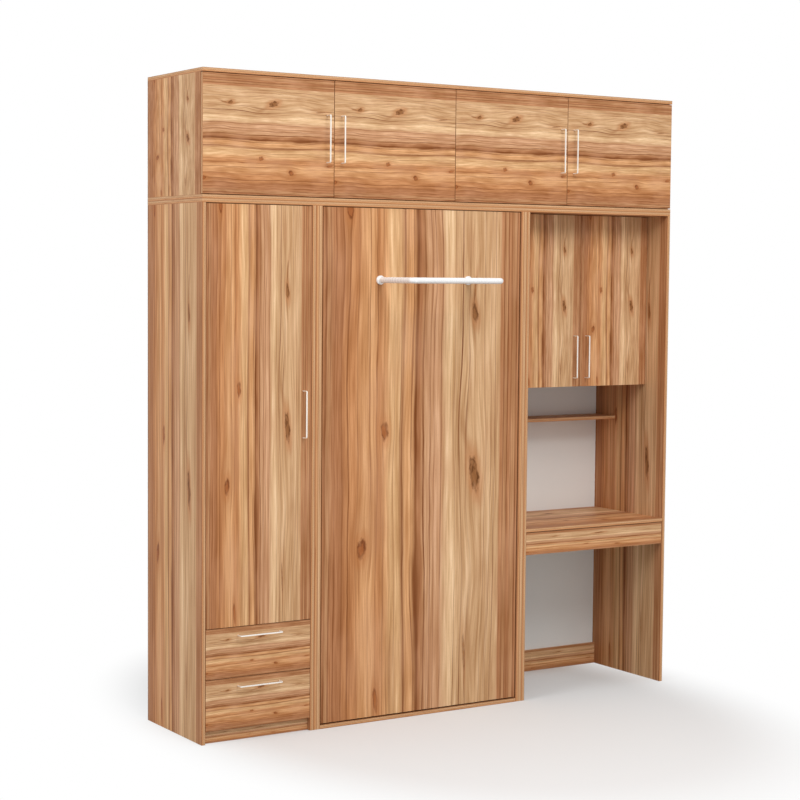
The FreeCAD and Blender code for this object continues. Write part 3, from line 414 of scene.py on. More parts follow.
metalMake = {"dull": 0.8, "rough": 1.3, "stainStep": (0.35, 0.65, 0, 0.12), "stainShade": 0.8,
             "relief": 0.00005}
boardCoat = {"fine": 900, "fleckStep": (0.35, 0.65, 0), "fleckShade": 0.75, "broad": 6, "cloud": 0.06,
             "cloudShade": 0.85, "relief": 0.0001, "gloss": {"Specular IOR Level": 0.3}}
timber = {"rings": (2, 38), "ringRough": 0.6, "ringStep": (0.35, 0.62), "fine": 14, "fleck": 0.25,
          "roughness": (0.5, 0.6), "relief": 0.0002}


def metal(name, colour, roughness, scale, streak=(1, 1, 1), mirror=1):
    # fine wear in the gloss, drawn out along an axis if brushed; mirror under 1 is a satin plating
    material, texture = newMaterial(name)
    wear = noise(stretched(texture["Object"], tuple(scale * share for share in streak)), detail=3)
    gloss = ease(wear, *usual, roughness * metalMake["dull"], roughness * metalMake["rough"])
    stain = ease(wear, *metalMake["stainStep"])
    tint = mixColour(stain, tone(colour), tone(colour, metalMake["stainShade"]))
    finishMaterial(tint, gloss, wear, metalMake["relief"], Metallic=mirror)
    return material


def plainBoard(name, colour, roughness, fleck):
    material, texture = newMaterial(name)
    fine = noise(texture["Object"], boardCoat["fine"])
    broad = noise(texture["Object"], boardCoat["broad"], detail=3)
    flecks = ease(fine, *boardCoat["fleckStep"], fleck)
    clouds = ease(broad, *usual, 0, boardCoat["cloud"])
    tint = mixColour(flecks, tone(colour), tone(colour, boardCoat["fleckShade"]))
    tint = mixColour(clouds, tint, tone(colour, boardCoat["cloudShade"]))
    finishMaterial(tint, roughness, fine, boardCoat["relief"], **boardCoat["gloss"])
    return material


def solidWood(name, light, dark, along, endRails=None):
    # sanded timber, its growth rings cut lengthwise; level rails lie beyond the heights endRails
    material, texture = newMaterial(name)
    spot = texture["Object"]
    if endRails:
        x, y, z = partsOf(spot)
        below = calc("LESS_THAN", z, endRails[0])
        lying = most(below, calc("GREATER_THAN", z, endRails[1]))
        spot = vectorOf(mixNumber(lying, x, z), y, mixNumber(lying, z, x))
    place = stretched(spot, grainScale(along, *timber["rings"]))
    rings = noise(place, detail=3, roughness=timber["ringRough"])
    fine = noise(place, timber["fine"])
    tint = mixColour(ease(rings, *timber["ringStep"]), tone(light), tone(dark))
    tint = mixColour(ease(fine, *usual, 0, timber["fleck"]), tint, tone(dark))
    roughness = ease(rings, *usual, *timber["roughness"])
    finishMaterial(tint, roughness, fine, timber["relief"])
    return material


frameLow, frameHigh = (Vector(corner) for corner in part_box("bed_frame"))
railThickness = 0.018
finishes = {
    "chrome": metal("brightChrome", (238, 238, 236), 0.14, 60),
    "leg": metal("satinChrome", (240, 239, 238), 0.26, 80, (1, 1, 0.2), 0.06),
    "handle": metal("satinHandle", (246, 242, 234), 0.34, 300, (1, 1, 0.1), 0.45),
    "zinc": metal("zincSteel", (188, 190, 192), 0.38, 220, mirror=0.7),
    "rod": metal("pistonRod", (225, 225, 228), 0.1, 80),
    "sheet": plainBoard("whiteBackSheet", (227, 226, 223), 0.62, 0.1),
    "drawerBoard": plainBoard("whiteDrawerBoard", (226, 222, 214), 0.5, 0.08),
    "frameWood": solidWood("sandedSoftwood", (214, 180, 134), (186, 144, 98), "Z",
                           (frameLow.z + railThickness, frameHigh.z - railThickness)),
    "slatWood": solidWood("beechSlat", (228, 194, 148), (205, 162, 112), "X"),
    "jointStrip": plainBoard("greyJointStrip", (186, 184, 180), 0.4, 0.06),
    "strutPaint": plainBoard("strutPaint", (34, 34, 36), 0.32, 0.2),
}
dressed = {
    "chrome": ["wardrobe_hanging_rail"],
    "leg": ["leg_bar", "leg_flanges"],
    "handle": [name for name in named("_fittings") if name != "desk_drawer_fittings"],
    "zinc": ["hinge_arms", "drawer_runner_rails", "bed_side_brackets", "bed_pivot_plates",
             "desk_drawer_fittings"],
    "rod": ["gas_strut_rods"],
    "sheet": ["loft_back_panel", "lower_back_panels"],
    "drawerBoard": ["lower_drawer_box", "upper_drawer_box", "desk_drawer_box"],
    "frameWood": ["bed_frame"],
    "slatWood": ["bed_slats"],
    "strutPaint": ["gas_strut_cylinders"],
}
for look, names in dressed.items():
    dress(names, finishes[look])
print("other finishes on", sum(len(names) for names in dressed.values()), "nodes")


# Mesh helpers

upright, towardWall = Vector((0, 0, 1)), Vector((0, 1, 0))


def intoScene(name, data):
    thing = bpy.data.objects.new(name, data)
    bpy.context.scene.collection.objects.link(thing)
    return thing


def finishPiece(builder, name, body, material, crease=35):
    bmesh.ops.recalc_face_normals(builder, faces=builder.faces)
    mesh = bpy.data.meshes.new(name)
    builder.to_mesh(mesh)
    builder.free()
    mesh.shade_smooth()
    mesh.set_sharp_from_angle(angle=radians(crease))
    mesh.materials.append(material)
    piece = intoScene(name, mesh)
    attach(piece, body)
    return piece


def finishSteel(builder, name, body):
    finishPiece(builder, name, body, finishes["zinc"])


def solidBoxes(node):
    # the box of each separate solid in a CAD node, lowest x first
    mesh = bmesh.new()
    mesh.from_mesh(nodes[node].data)
    bmesh.ops.remove_doubles(mesh, verts=mesh.verts, dist=1e-6)
    left = set(mesh.verts)
    boxes = []
    while left:
        group = [left.pop()]
        for vert in group:
            near = {edge.other_vert(vert) for edge in vert.link_edges} & left
            left -= near
            group.extend(near)
        boxes.append([Vector([pick(v.co[axis] for v in group) for axis in range(3)]) for pick in (min, max)])
    mesh.free()
    return sorted(boxes, key=lambda pair: tuple(pair[0]))


def bendPath(corners, radii, steps=7):
    # straight runs with a round bend at each inner corner
    path = [corners[0]]
    for before, corner, after, radius in zip(corners, corners[1:], corners[2:], radii):
        back, ahead = (before - corner).normalized(), (after - corner).normalized()
        half = back.angle(ahead) / 2
        middle = corner + (back + ahead).normalized() * (radius / sin(half))
        start = (corner + back * (radius / tan(half)) - middle).normalized()
        end = (corner + ahead * (radius / tan(half)) - middle).normalized()
        path += [middle + start.slerp(end, step / steps) * radius for step in range(steps + 1)]
    return path + [corners[-1]]


def bridge(builder, rings, closed=False, caps=True):
    # joins rings of points with faces, and closes the first and the last one
    following = rings[1:] + rings[:1] if closed else rings[1:]
    for first, second in zip(rings, following):
        for index in range(len(first)):
            other = (index + 1) % len(first)
            builder.faces.new((first[index], first[other], second[other], second[index]))
    if caps and not closed:
        builder.faces.new(rings[0])
        builder.faces.new(rings[-1])


def sweep(builder, points, wide, section, closed=False):
    # carries a section along points; wide is the direction of the section's own width
    rings = []
    before, after = (points[-1], points[0]) if closed else (points[0], points[-1])
    for back, point, ahead in zip([before] + points, points, points[1:] + [after]):
        out = wide.cross(ahead - back).normalized()
        rings.append([builder.verts.new(point + wide * across + out * rise) for across, rise in section])
    bridge(builder, rings, closed)


recess = {"waist": 0.34, "sharpness": 3}  # share of the radius between the arms of the cross


def turned(builder, place, out, profile, sides=24, lobes=None):
    # a turned piece on place, along out. The profile is radius and rise, and from its ring number
    # lobes on it is pinched into the cross of a screw's recess
    turn = out.to_track_quat("Z", "Y")
    rings = []
    for number, (radius, rise) in enumerate(profile):
        ring = []
        for side in range(sides):
            angle = 2 * pi * side / sides
            waist = recess["waist"] if lobes is not None and number >= lobes else 1
            reach = radius * (waist + (1 - waist) * abs(cos(2 * angle)) ** recess["sharpness"])
            spot = Vector((reach * cos(angle), reach * sin(angle), rise))
            ring.append(builder.verts.new(place + turn @ spot))
        rings.append(ring)
    bridge(builder, rings)


def roundedBlock(builder, low, high, radius):
    middle, size = (low + high) / 2, high - low
    matrix = Matrix.Translation(middle) @ Matrix.Diagonal((*size, 1))
    made = bmesh.ops.create_cube(builder, size=1, matrix=matrix)["verts"]
    edges = list({edge for vert in made for edge in vert.link_edges})
    bmesh.ops.bevel(builder, geom=edges, offset=radius, segments=3, affect="EDGES", profile=0.5)


# Mattress: quilted ticking over springs, with taped edges

mattressMake = {
    "cornerRadius": 0.05, "gridStep": 0.0125, "quiltPitch": 0.13, "puff": 0.0075, "puffPower": 0.4,
    "puffEdge": 0.025, "edgeFall": 0.012, "edgeWidth": 0.05, "borderRings": 9, "borderInset": 0.0034,
    "insetWidth": 0.02, "borderGap": 0.0006, "bulgePower": 0.6, "channelPitch": 0.045, "channelDepth": 0.0013,
    "tapeWidth": 0.014, "tapeRise": 0.003, "tapeOut": 0.0002, "tapeSides": 10, "tape": (186, 178, 162),
    "tapeLight": (214, 207, 192), "tapeRib": 0.003,
}
clothMake = {
    "ticking": (228, 222, 209), "stripe": (206, 203, 196), "stripePitch": 0.036, "stripeShare": 0.35,
    "stripeStep": (0.55, 0.75), "roughness": (0.85, 0.62), "knitSlant": 0.7, "cloudSpots": 14,
    "knit": (196, 190, 178), "knitRows": 0.0022, "knitColumns": 0.0016, "knitShare": 0.14,
    "cloud": (214, 205, 188), "cloudShare": 0.1, "stitch": (176, 168, 152), "stitchPitch": 0.008,
    "stitchWidth": (0.012, 0.03), "stitchGap": (-0.4, 0), "stitchDepth": 2,
    "topFace": (0.5, 0.8),  # a normal's part over which the stitches set in
    "relief": 0.0003,
    "sheen": {"Sheen Weight": 0.35, "Sheen Roughness": 0.5, "Specular IOR Level": 0.25},
}
bandMake = {"weft": 0.7, "weave": (0.45, 1), "weaveStep": (0.2, 0.9), "wearSpots": 30,
            "wearStep": (0.4, 0.7, 0, 0.18), "wearShade": 0.7, "roughness": (0.9, 0.65), "relief": 0.0004,
            "sheen": {"Sheen Weight": 0.3}}


def tickingCloth():
    make = clothMake
    material, texture = newMaterial("quiltedTicking")
    x, y, z = partsOf(texture["Object"])
    acrossBed, alongBed = minus(x, bedMiddle.x), minus(z, bedMiddle.z)
    rising, falling = plus(acrossBed, alongBed), minus(acrossBed, alongBed)
    stitches = 0
    for over, way in ((rising, falling), (falling, rising)):
        seam = absolute(wave(over, 2 * mattressMake["quiltPitch"]))
        dash = ease(wave(way, make["stitchPitch"]), *make["stitchGap"])
        stitches = most(stitches, times(ease(seam, *make["stitchWidth"], 1, 0), dash))
    facing = absolute(partsOf(texture["Normal"])["Y"])
    stitches = times(stitches, ease(facing, *make["topFace"]))
    columns = wave(plus(x, times(y, make["knitSlant"])), make["knitColumns"])
    knit = times(wave(z, make["knitRows"]), columns)
    stripe = ease(wave(acrossBed, make["stripePitch"]), *make["stripeStep"])
    cloud = noise(texture["Object"], make["cloudSpots"], detail=3)
    colour = tone(make["ticking"])
    for name, amount in (("stripe", times(stripe, make["stripeShare"])),
                         ("knit", ease(knit, -1, 1, 0, make["knitShare"])),
                         ("cloud", ease(cloud, *usual, 0, make["cloudShare"])), ("stitch", stitches)):
        colour = mixColour(amount, colour, tone(make[name]))
    height = minus(knit, times(stitches, make["stitchDepth"]))
    finishMaterial(colour, mixNumber(stripe, *make["roughness"]), height, make["relief"], **make["sheen"])
    return material


def wovenBand(name, colour, other, rib, across, along):
    # ribbed webbing: ribs along the band, crossed by the weft
    material, texture = newMaterial(name)
    place = partsOf(texture["Object"])
    ribs = wave(place[across], rib)
    runs = plus(*[place[axis] for axis in along])
    phase = times(calc("SIGN", ribs), pi / 2)
    turns = times(runs, 2 * pi / (rib * bandMake["weft"]))
    weft = calc("SINE", plus(turns, phase))
    weave = times(absolute(ribs), ease(weft, -1, 1, *bandMake["weave"]))
    wear = ease(noise(texture["Object"], bandMake["wearSpots"], detail=3), *bandMake["wearStep"])
    tint = mixColour(ease(weave, *bandMake["weaveStep"]), tone(colour), tone(other))
    tint = mixColour(wear, tint, tone(colour, bandMake["wearShade"]))
    roughness = ease(weave, 0, 1, *bandMake["roughness"])
    finishMaterial(tint, roughness, weave, bandMake["relief"], **bandMake["sheen"])
    return material


mattressLow, mattressHigh = (Vector(corner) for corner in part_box("mattress"))
bedMiddle = (mattressLow + mattressHigh) / 2
halfSize = (mattressHigh - mattressLow) / 2


def mattressPlan(x, z):
    # takes the square corners of the grid to round ones, and says which way is out there
    endX, endZ = (half - mattressMake["cornerRadius"] for half in (halfSize.x, halfSize.z))
    overX, overZ = max(abs(x) - endX, 0), max(abs(z) - endZ, 0)
    if overX and overZ:
        pull = max(overX, overZ) / hypot(overX, overZ)
        out = Vector((copysign(overX, x), 0, copysign(overZ, z))).normalized()
        return copysign(endX + overX * pull, x), copysign(endZ + overZ * pull, z), out
    if halfSize.x - abs(x) < halfSize.z - abs(z):
        return x, z, Vector((copysign(1, x), 0, 0))
    return x, z, Vector((0, 0, copysign(1, z)))


def quiltedHeight(x, z, inward):
    # diamonds puff up between the stitched lines, and the whole face falls away at the tape
    make = mattressMake
    one, other = (abs(sin(pi * way / make["quiltPitch"])) for way in (x + z, x - z))
    flat = min(inward / make["edgeWidth"], 1)
    fall = make["edgeFall"] * (1 - flat) ** 2
    full = (one * other) ** make["puffPower"] * min(1, inward / make["puffEdge"])
    return halfSize.y - make["puff"] * (1 - full) - fall


def makeMattress():
    make = mattressMake
    builder = bmesh.new()
    columns = round(halfSize.x * 2 / make["gridStep"])
    rows = round(halfSize.z * 2 / make["gridStep"])
    faces = []
    outward = {}
    for side in (1, -1):
        grid = []
        for row in range(rows + 1):
            z = -halfSize.z + halfSize.z * 2 * row / rows
            line = []
            for column in range(columns + 1):
                x = -halfSize.x + halfSize.x * 2 * column / columns
                planX, planZ, out = mattressPlan(x, z)
                inward = min(halfSize.x - abs(x), halfSize.z - abs(z))
                height = quiltedHeight(planX, planZ, inward)
                shrink = make["borderInset"] * max(0, 1 - inward / make["insetWidth"])
                vert = builder.verts.new((planX - out.x * shrink, side * height, planZ - out.z * shrink))
                outward[vert] = out
                line.append(vert)
            grid.append(line)
        for below, above in zip(grid, grid[1:]):
            for index in range(columns):
                builder.faces.new((below[index], below[index + 1], above[index + 1], above[index]))
        right, left = [line[-1] for line in grid[1:]], [line[0] for line in grid[-2:0:-1]]
        faces.append(grid[0] + right + grid[-1][-2::-1] + left)
    upper, lower = faces
    rings = [upper]
    travelled = [0]
    for before, vert in zip(upper, upper[1:]):
        travelled.append(travelled[-1] + (vert.co - before.co).length)
    swollen = make["borderInset"] - make["borderGap"]
    for number in range(1, make["borderRings"] + 1):
        share = number / (make["borderRings"] + 1)
        bulge = sin(pi * share) ** make["bulgePower"]
        ring = []
        for top, bottom, distance in zip(upper, lower, travelled):
            channel = sqrt(abs(sin(pi * distance / make["channelPitch"])))
            swell = (swollen - make["channelDepth"] * (1 - channel)) * bulge
            ring.append(builder.verts.new(top.co.lerp(bottom.co, share) + outward[top] * swell))
        rings.append(ring)
    rings.append(lower)
    bridge(builder, rings, caps=False)
    tapePath = [vert.co + outward[vert] * make["tapeOut"] for vert in upper]
    for vert in builder.verts:
        vert.co += bedMiddle
    cover = finishPiece(builder, "mattressCover", "bed", tickingCloth(), crease=80)
    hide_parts("mattress")

    taping = bmesh.new()
    angles = [2 * pi * step / make["tapeSides"] for step in range(make["tapeSides"])]
    wide, rise = make["tapeWidth"] / 2, make["tapeRise"]
    section = [(cos(angle) * wide, sin(angle) * rise) for angle in angles]
    for side in (1, -1):
        loop = [Vector((point.x, side * point.y, point.z)) + bedMiddle for point in tapePath]
        sweep(taping, loop, towardWall, section, closed=True)
    tape = wovenBand("mattressTapeWeave", make["tape"], make["tapeLight"], make["tapeRib"], "Y", ("X", "Z"))
    finishPiece(taping, "mattressTape", "bed", tape, crease=60)


makeMattress()
print("mattress made")


# Heads of fixings: shares of the radius and of the height, from the seat up

heads = {
    "screw": ([(1, 0), (1, 0.4), (0.92, 0.75), (0.72, 1), (0.56, 1), (0.5, 1), (0.44, 0.45)], 32, 5),
    "bolt": ([(1, 0), (1, 0.5), (0.9, 0.9), (0.75, 1), (0.42, 1), (0.4, 0.35), (0.05, 0.3)], 18),
    "pin": ([(1, 0), (1, 0.4), (0.7, 0.9), (0.1, 1)], 12),
}


def addHead(builder, kind, place, out, make, share=1):
    # with radius and height from make; share narrows it
    shape, *sides = heads[kind]
    profile = [(make["radius"] * share * wide, make["height"] * rise) for wide, rise in shape]
    turned(builder, place, out, profile, *sides)


# Straps that hold the mattress in the upright bed, with their anchors on the rails

strapMake = {
    "thickness": 0.0018, "edgeRound": 0.0004, "edgeFlat": 0.4, "railGap": 0.0002,
    "railEnd": 0.002,  # from the rail's outer face to the webbing's end
    "edgeBend": 0.014, "footBend": 0.003, "rib": 0.0045, "webbing": (38, 38, 41),
    "webbingLight": (74, 74, 78),
}
anchorMake = {
    "thickness": 0.0015, "length": 0.064, "width": 0.0135, "fromMattress": 0.0035, "round": 0.0006,
    "screw": {"radius": 0.004, "height": 0.0018, "place": 0.4},  # share of the length, either way
}
buckleMake = {
    "place": 0.28,  # share of the way across the bed
    "reach": 0.026,  # half the length
    "cheek": 0.0022, "base": 0.0015, "round": 0.0006,
    # share of the reach and rise over the webbing
    "cheekLine": [(-0.92, 0.0008), (-0.55, 0.0075), (0.1, 0.0105), (0.55, 0.0075), (0.92, 0.0008)],
    "cheekBends": (0.006, 0.01, 0.006),
    # share of half the cheek and rise
    "cheekSection": [(-1, -0.0012), (1, -0.0012), (1, 0.0006), (0, 0.0012), (-1, 0.0006)],
    "leverLine": [(-0.75, 0.0045), (-0.35, 0.0095), (0.3, 0.0095), (0.95, 0.0055)],
    "leverBends": (0.01, 0.014), "leverGap": 0.001, "leverThickness": 0.0018, "pinPlace": -0.3,
    "pinRise": 0.006, "pinRadius": 0.0022,
    "pinTip": (0.0012, 0.0006),  # radius and length
    "pinOver": 1.4,  # shares of a cheek that it stands out
}


def addAnchor(builder, inner, outer, seat, middleZ):
    make = anchorMake
    toward = copysign(1, outer - inner)
    near = inner + toward * make["fromMattress"]
    far = near + toward * make["width"]
    low = Vector((min(near, far), seat, middleZ - make["length"] / 2))
    high = Vector((max(near, far), seat + make["thickness"], middleZ + make["length"] / 2))
    roundedBlock(builder, low, high, make["round"])
    for side in (-1, 1):
        z = middleZ + make["length"] * make["screw"]["place"] * side
        addHead(builder, "screw", Vector(((near + far) / 2, high.y, z)), towardWall, make["screw"])


def addBuckle(builder, x, base, middleZ, half):
    # half is half the webbing's width, and base its upper face
    make = buckleMake
    reach, cheek = make["reach"], make["cheek"]
    low = Vector((x - reach, base, middleZ - half - cheek))
    high = Vector((x + reach, base + make["base"], middleZ + half + cheek))
    roundedBlock(builder, low, high, make["round"])
    section = [(cheek / 2 * wide, rise) for wide, rise in make["cheekSection"]]
    for side in (-1, 1):
        wall = middleZ + side * (half + cheek / 2)
        outline = [Vector((x + reach * share, base + rise, wall)) for share, rise in make["cheekLine"]]
        sweep(builder, bendPath(outline, make["cheekBends"]), upright, section)
    lever = [Vector((x + reach * share, base + rise, middleZ)) for share, rise in make["leverLine"]]
    gap, thin = half - make["leverGap"], make["leverThickness"] / 2
    corners = [(-gap, -thin), (gap, -thin), (gap, thin), (-gap, thin)]
    sweep(builder, bendPath(lever, make["leverBends"]), upright, corners)
    over = cheek * make["pinOver"]
    place = Vector((x + reach * make["pinPlace"], base + make["pinRise"], middleZ - half - over))
    tip, tipLength = make["pinTip"]
    long = half * 2 + over * 2
    turned(builder, place, upright, [
        (tip, 0), (make["pinRadius"], tipLength), (make["pinRadius"], long - tipLength), (tip, long)])


def makeStraps():
    make = strapMake
    webbing, buckles, anchors = bmesh.new(), bmesh.new(), bmesh.new()
    thick, edge, flat = make["thickness"], make["edgeRound"], make["edgeFlat"]
    footY = frameHigh.y + thick / 2 + make["railGap"]
    outLeft, outRight = frameLow.x + make["railEnd"], frameHigh.x - make["railEnd"]
    foot, bend = make["footBend"], make["edgeBend"]
    for low, high in solidBoxes("mattress_straps"):
        half = (high.z - low.z) / 2
        middleZ = (high.z + low.z) / 2
        faceY = high.y - thick / 2
        leftX, rightX = low.x + thick / 2, high.x - thick / 2
        plan = [(outLeft, footY), (leftX, footY), (leftX, faceY), (rightX, faceY), (rightX, footY),
                (outRight, footY)]
        corners = [Vector((x, y, middleZ)) for x, y in plan]
        outline = [(half - edge, -1), (half, -flat), (half, flat), (half - edge, 1)]
        oneEdge = [(wide, thick / 2 * rise) for wide, rise in outline]
        section = [(-wide, rise) for wide, rise in oneEdge] + oneEdge[::-1]
        sweep(webbing, bendPath(corners, (foot, bend, bend, foot)), upright, section)
        for inner, outer in ((leftX, outLeft), (rightX, outRight)):
            addAnchor(anchors, inner, outer, footY + thick / 2, middleZ)
        buckleX = leftX + (rightX - leftX) * buckleMake["place"]
        addBuckle(buckles, buckleX, faceY + thick / 2, middleZ, half)
    colours = make["webbing"], make["webbingLight"]
    band = wovenBand("strapWebbing", *colours, make["rib"], "Z", ("X", "Y"))
    straps = finishPiece(webbing, "mattressStrapWebbing", "bed", band)
    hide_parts("mattress_straps")
    finishSteel(buckles, "strapBuckles", "bed")
    finishSteel(anchors, "strapAnchors", "bed")


# Screws and pins, on the CAD solids that they hold

fixings = {
    "hingePlate": {"radius": 0.0042, "height": 0.0016, "seat": 0.004, "fromEnd": 0.0225, "spread": 0.017},
    "hingeArm": {"radius": 0.0034, "height": 0.001, "seat": 0.013, "fromEnd": (0.012, 0.036)},
    "cup": {"radius": 0.0036, "height": 0.0009, "spread": 0.0235, "leastWidth": 0.03},
    "bracket": {"radius": 0.0075, "height": 0.0026, "fromEdge": 0.016, "plate": 0.004, "tall": 0.08,
                "smallEdge": 0.7, "smallRadius": 0.75},
    # the screws' places are shares of the plate's depth and height
    "pivotPlate": {"radius": 0.005, "height": 0.0022, "plate": 0.004,
                   "places": [(0.2, 0.94), (0.8, 0.94), (0.8, 0.5), (0.2, 0.06), (0.8, 0.06)]},
    # radius and rise of the pin's rings
    "shelfPin": {"radius": 0.0025, "fromFront": 0.045,
                 "rings": [(0.0042, 0), (0.0042, 0.001), (0.0025, 0.0014), (0.0025, 0.008), (0.0015, 0.009)]},
}
hungBoards = ("wardrobe_left_side", "loft_left_side", "loft_divider", "desk_left_side")
touching = 0.001  # solids this near are taken to touch


def screwHinges(builder):
    plate, arm = fixings["hingePlate"], fixings["hingeArm"]
    for low, high in solidBoxes("hinge_arms"):
        # the plate lies on whichever board is beside it
        leftHanded = any(abs(low.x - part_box(board)[1][0]) < touching for board in hungBoards)
        out = Vector((1 if leftHanded else -1, 0, 0))
        seat = low.x if leftHanded else high.x
        middleZ = (low.z + high.z) / 2
        spots = [(plate, plate["fromEnd"], middleZ + side * plate["spread"]) for side in (-1, 1)]
        for make, distance, z in spots + [(arm, distance, middleZ) for distance in arm["fromEnd"]]:
            place = Vector((seat + out.x * make["seat"], high.y - distance, z))
            addHead(builder, "screw", place, out, make)


def boltBrackets(builder):
    make = fixings["bracket"]
    for low, high in solidBoxes("bed_side_brackets"):
        onLeft = high.x < 0 and low.x < frameLow.x
        out = Vector((1 if onLeft else -1, 0, 0))
        seat = (low.x if onLeft else high.x) + out.x * make["plate"]
        tall = high.y - low.y > make["tall"]
        inset = make["fromEdge"]
        insetZ = inset * (1 if tall else make["smallEdge"])
        share = 1 if tall else make["smallRadius"]
        for y in ((low.y + inset, high.y - inset) if tall else ((low.y + high.y) / 2,)):
            for z in (low.z + insetZ, high.z - insetZ):
                addHead(builder, "bolt", Vector((seat, y, z)), out, make, share)


def screwPivotPlates(builder):
    make = fixings["pivotPlate"]
    for low, high in solidBoxes("bed_pivot_plates"):
        onLeft = high.x <= frameLow.x + touching
        out = Vector((-1 if onLeft else 1, 0, 0))
        seat = (high.x if onLeft else low.x) + out.x * make["plate"]
        for y, z in make["places"]:
            place = Vector((seat, low.y + (high.y - low.y) * y, low.z + (high.z - low.z) * z))
            addHead(builder, "screw", place, out, make)


def pinShelves(builder):
    make = fixings["shelfPin"]
    for low, high in solidBoxes("inner_shelves"):
        for x, toward in ((low.x, 1), (high.x, -1)):
            for y in (low.y + make["fromFront"], high.y - make["fromFront"]):
                place = Vector((x, y, low.z - make["radius"]))
                turned(builder, place, Vector((toward, 0, 0)), make["rings"], sides=20)


def screwCups(builder, door):
    make = fixings["cup"]
    for low, high in solidBoxes(door + "_fittings"):
        if high.x - low.x < make["leastWidth"]:  # the handle
            continue
        middle = (low + high) / 2
        for side in (-1, 1):
            place = Vector((middle.x, high.y, middle.z + side * make["spread"]))
            addHead(builder, "screw", place, towardWall, make)


def makeFixings():
    caseScrews, bedScrews = bmesh.new(), bmesh.new()
    screwHinges(caseScrews)
    boltBrackets(caseScrews)
    screwPivotPlates(bedScrews)
    pinShelves(caseScrews)
    finishSteel(caseScrews, "caseScrews", "case")
    finishSteel(bedScrews, "bedPlateScrews", "bed")
    for door in [name for name in frame["bodies"] if "door" in name]:
        doorScrews = bmesh.new()
        screwCups(doorScrews, door)
        finishSteel(doorScrews, door + "Screws", door)


makeStraps()
makeFixings()
print("straps and fixings made")


# Back sheets: a joint strip over each seam and pins into the boards

backMake = {
    "stripWidth": 0.017, "stripRise": 0.0009,
    # shares of half the width and of the rise
    "strip": [(-1, 0), (1, 0), (1, 0.5), (0.8, 1), (0.15, 1), (0, 0.7), (-0.15, 1), (-0.8, 1), (-1, 0.5)],
    "pin": {"radius": 0.0036, "height": 0.0007}, "pinPitch": 0.15,
    "pinEnd": 0.06,  # the first pin's distance from a sheet's corner
    "besideSeam": 0.0122,
}


def boardMiddle(node, axis):
    low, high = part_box(node)
    return (low[axis] + high[axis]) / 2


def makeBack():
    strips, pins = bmesh.new(), bmesh.new()
    (left, _, floor), (right, face, seam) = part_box("lower_back_panels")
    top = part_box("loft_back_panel")[1][2]
    seams = [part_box("wardrobe_right_side")[1][0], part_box("bed_case_right_side")[1][0]]
    half, rise = backMake["stripWidth"] / 2, backMake["stripRise"]
    section = [(half * wide, rise * high) for wide, high in backMake["strip"]]
    for x in seams:
        sweep(strips, [Vector((x, face, floor)), Vector((x, face, seam - half))], Vector((-1, 0, 0)), section)
    sweep(strips, [Vector((left, face, seam)), Vector((right, face, seam))], upright, section)

    def pinRow(start, end):
        count = max(1, round((end - start).length / backMake["pinPitch"]))
        for step in range(count + 1):
            addHead(pins, "pin", start.lerp(end, step / count), towardWall, backMake["pin"])

    inset, beside = backMake["pinEnd"], backMake["besideSeam"]
    uprights = [boardMiddle("wardrobe_left_side", 0), boardMiddle("desk_right_side", 0)]
    uprights += [x + side * beside for x in seams for side in (-1, 1)]
    for x in uprights:
        pinRow(Vector((x, face, floor + inset)), Vector((x, face, seam - inset)))
    for board in ("loft_left_side", "loft_divider", "loft_right_side"):
        x = boardMiddle(board, 0)
        pinRow(Vector((x, face, seam + inset)), Vector((x, face, top - inset)))
    for z in (seam - beside, seam + beside, boardMiddle("loft_top_board", 2)):
        pinRow(Vector((left + inset, face, z)), Vector((right - inset, face, z)))
    finishPiece(strips, "backJointStrips", "case", finishes["jointStrip"])
    finishSteel(pins, "backPins", "case")


makeBack()
print("back sheets joined and pinned")


# Floor and light

studio = {
    "floorTone": (222, 222, 222),
    "bounceTone": (166, 164, 162),  # what the floor throws back onto the bed
    "floorSize": 40, "floorDrop": 0.0006, "shadowCentre": (0.03, -0.45, 0),
    "shadowReach": (1.27, 1.85, 1),
    "shadowEdge": (0.72, 1.15),  # shares of the reach over which the floor turns white
    "nearGlow": 0.04,  # share of plain white near the bed
    "worldLight": 0.72,
    "lamps": [
        # name, place, aimed at, size and watts
        ("frontLamp", (-0.6, -5.5, 6.2), (0, 0, 1.7), 3.6, 240),
        ("sideLamp", (-6.5, -1.5, 4.2), (-0.8, 0, 1.8), 3.5, 135),
        ("lowLamp", (0, -4.5, 0.7), (0.8, 0, 0.5), 1.6, 15),
    ],
}
shot = {
    "place": (-4.54235, -7.22583, 1.89964), "turn": 32.462, "tilt": 3.849, "roll": 0.492, "lens": 84.88,
    "farEnd": 200,
}
white = (1, 1, 1, 1)


def backdropRay(tree):
    # 1 for a ray that shows the background: straight, mirrored or through glass
    rays = addNode("LightPath", tree=tree).outputs
    return most(most(rays["Is Camera Ray"], rays["Is Glossy Ray"]), rays["Is Transmission Ray"])


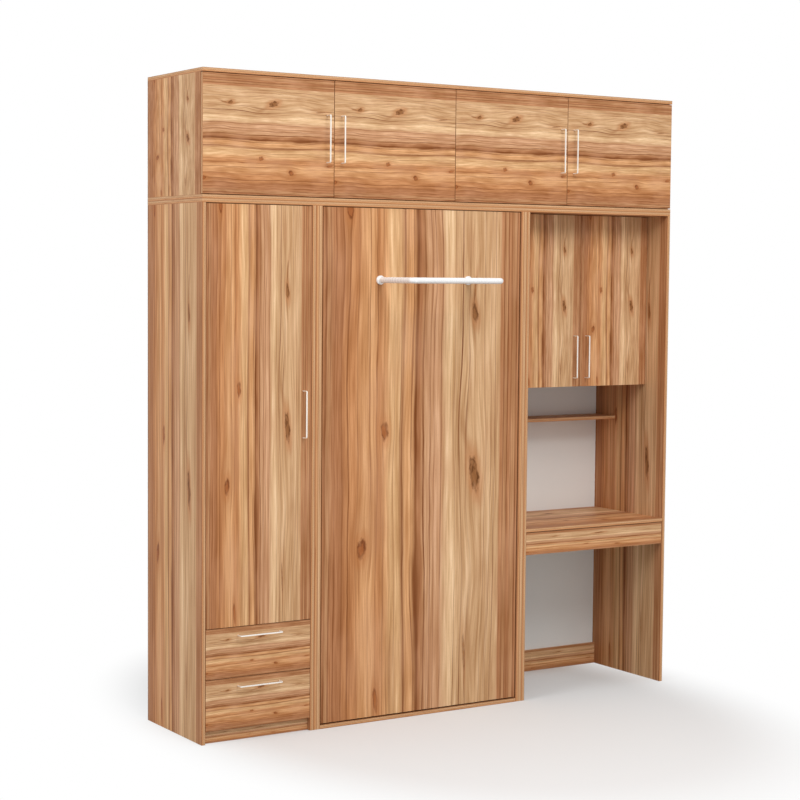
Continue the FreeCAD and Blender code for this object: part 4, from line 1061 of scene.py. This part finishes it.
def layFloor():
    half = studio["floorSize"] / 2
    corners = [(-half, -half, 0), (half, -half, 0), (half, half, 0), (-half, half, 0)]
    mesh = bpy.data.meshes.new("paleFloor")
    mesh.from_pydata(corners, [], [(0, 1, 2, 3)])
    floor = intoScene("paleFloor", mesh)
    floor.location.z = -studio["floorDrop"]
    material, texture = newMaterial("paleFloor")
    away = vectorCalc("SUBTRACT", texture["Object"], studio["shadowCentre"])
    distance = vectorCalc("LENGTH", vectorCalc("DIVIDE", away, studio["shadowReach"]))
    far = ease(distance, *studio["shadowEdge"], studio["nearGlow"], 1)
    shown = backdropRay(material.node_tree)
    paint = mixColour(shown, tone(studio["bounceTone"]), tone(studio["floorTone"]))
    matt = addNode("BsdfDiffuse", {"Color": paint}).outputs[0]
    glow = addNode("Emission", {"Color": white, "Strength": 1}, material.node_tree).outputs[0]
    blend = addNode("MixShader", {0: times(far, shown), 1: matt, 2: glow})
    addNode("OutputMaterial", {0: blend.outputs[0]})
    mesh.materials.append(material)


def lightStudio():
    world = bpy.context.scene.world = bpy.data.worlds.new("studio")
    world.use_nodes = True
    tree = world.node_tree
    tree.nodes.clear()
    strength = mixNumber(backdropRay(tree), studio["worldLight"], 1)
    sky = addNode("Background", {"Color": white, "Strength": strength})
    addNode("OutputWorld", {0: sky.outputs[0]})
    for name, place, aim, size, watts in studio["lamps"]:
        lamp = bpy.data.lights.new(name, "AREA")
        lamp.shape = "DISK"
        lamp.size = size
        lamp.energy = watts
        holder = intoScene(name, lamp)
        holder.location = place
        holder.rotation_mode = "QUATERNION"
        holder.rotation_quaternion = (Vector(aim) - Vector(place)).to_track_quat("-Z", "Y")


def placeCamera():
    lens = bpy.data.cameras.new("camera")
    lens.lens = shot["lens"]
    lens.clip_end = shot["farEnd"]
    matrix = Matrix.Translation(shot["place"])
    for angle, axis in ((-shot["turn"], "Z"), (90 - shot["tilt"], "X"), (shot["roll"], "Z")):
        matrix = matrix @ Matrix.Rotation(radians(angle), 4, axis)
    camera = bpy.context.scene.camera = intoScene("camera", lens)
    camera.matrix_world = matrix


layFloor()
lightStudio()
placeCamera()
bpy.context.scene.view_settings.view_transform = "Standard"
print("studio ready")
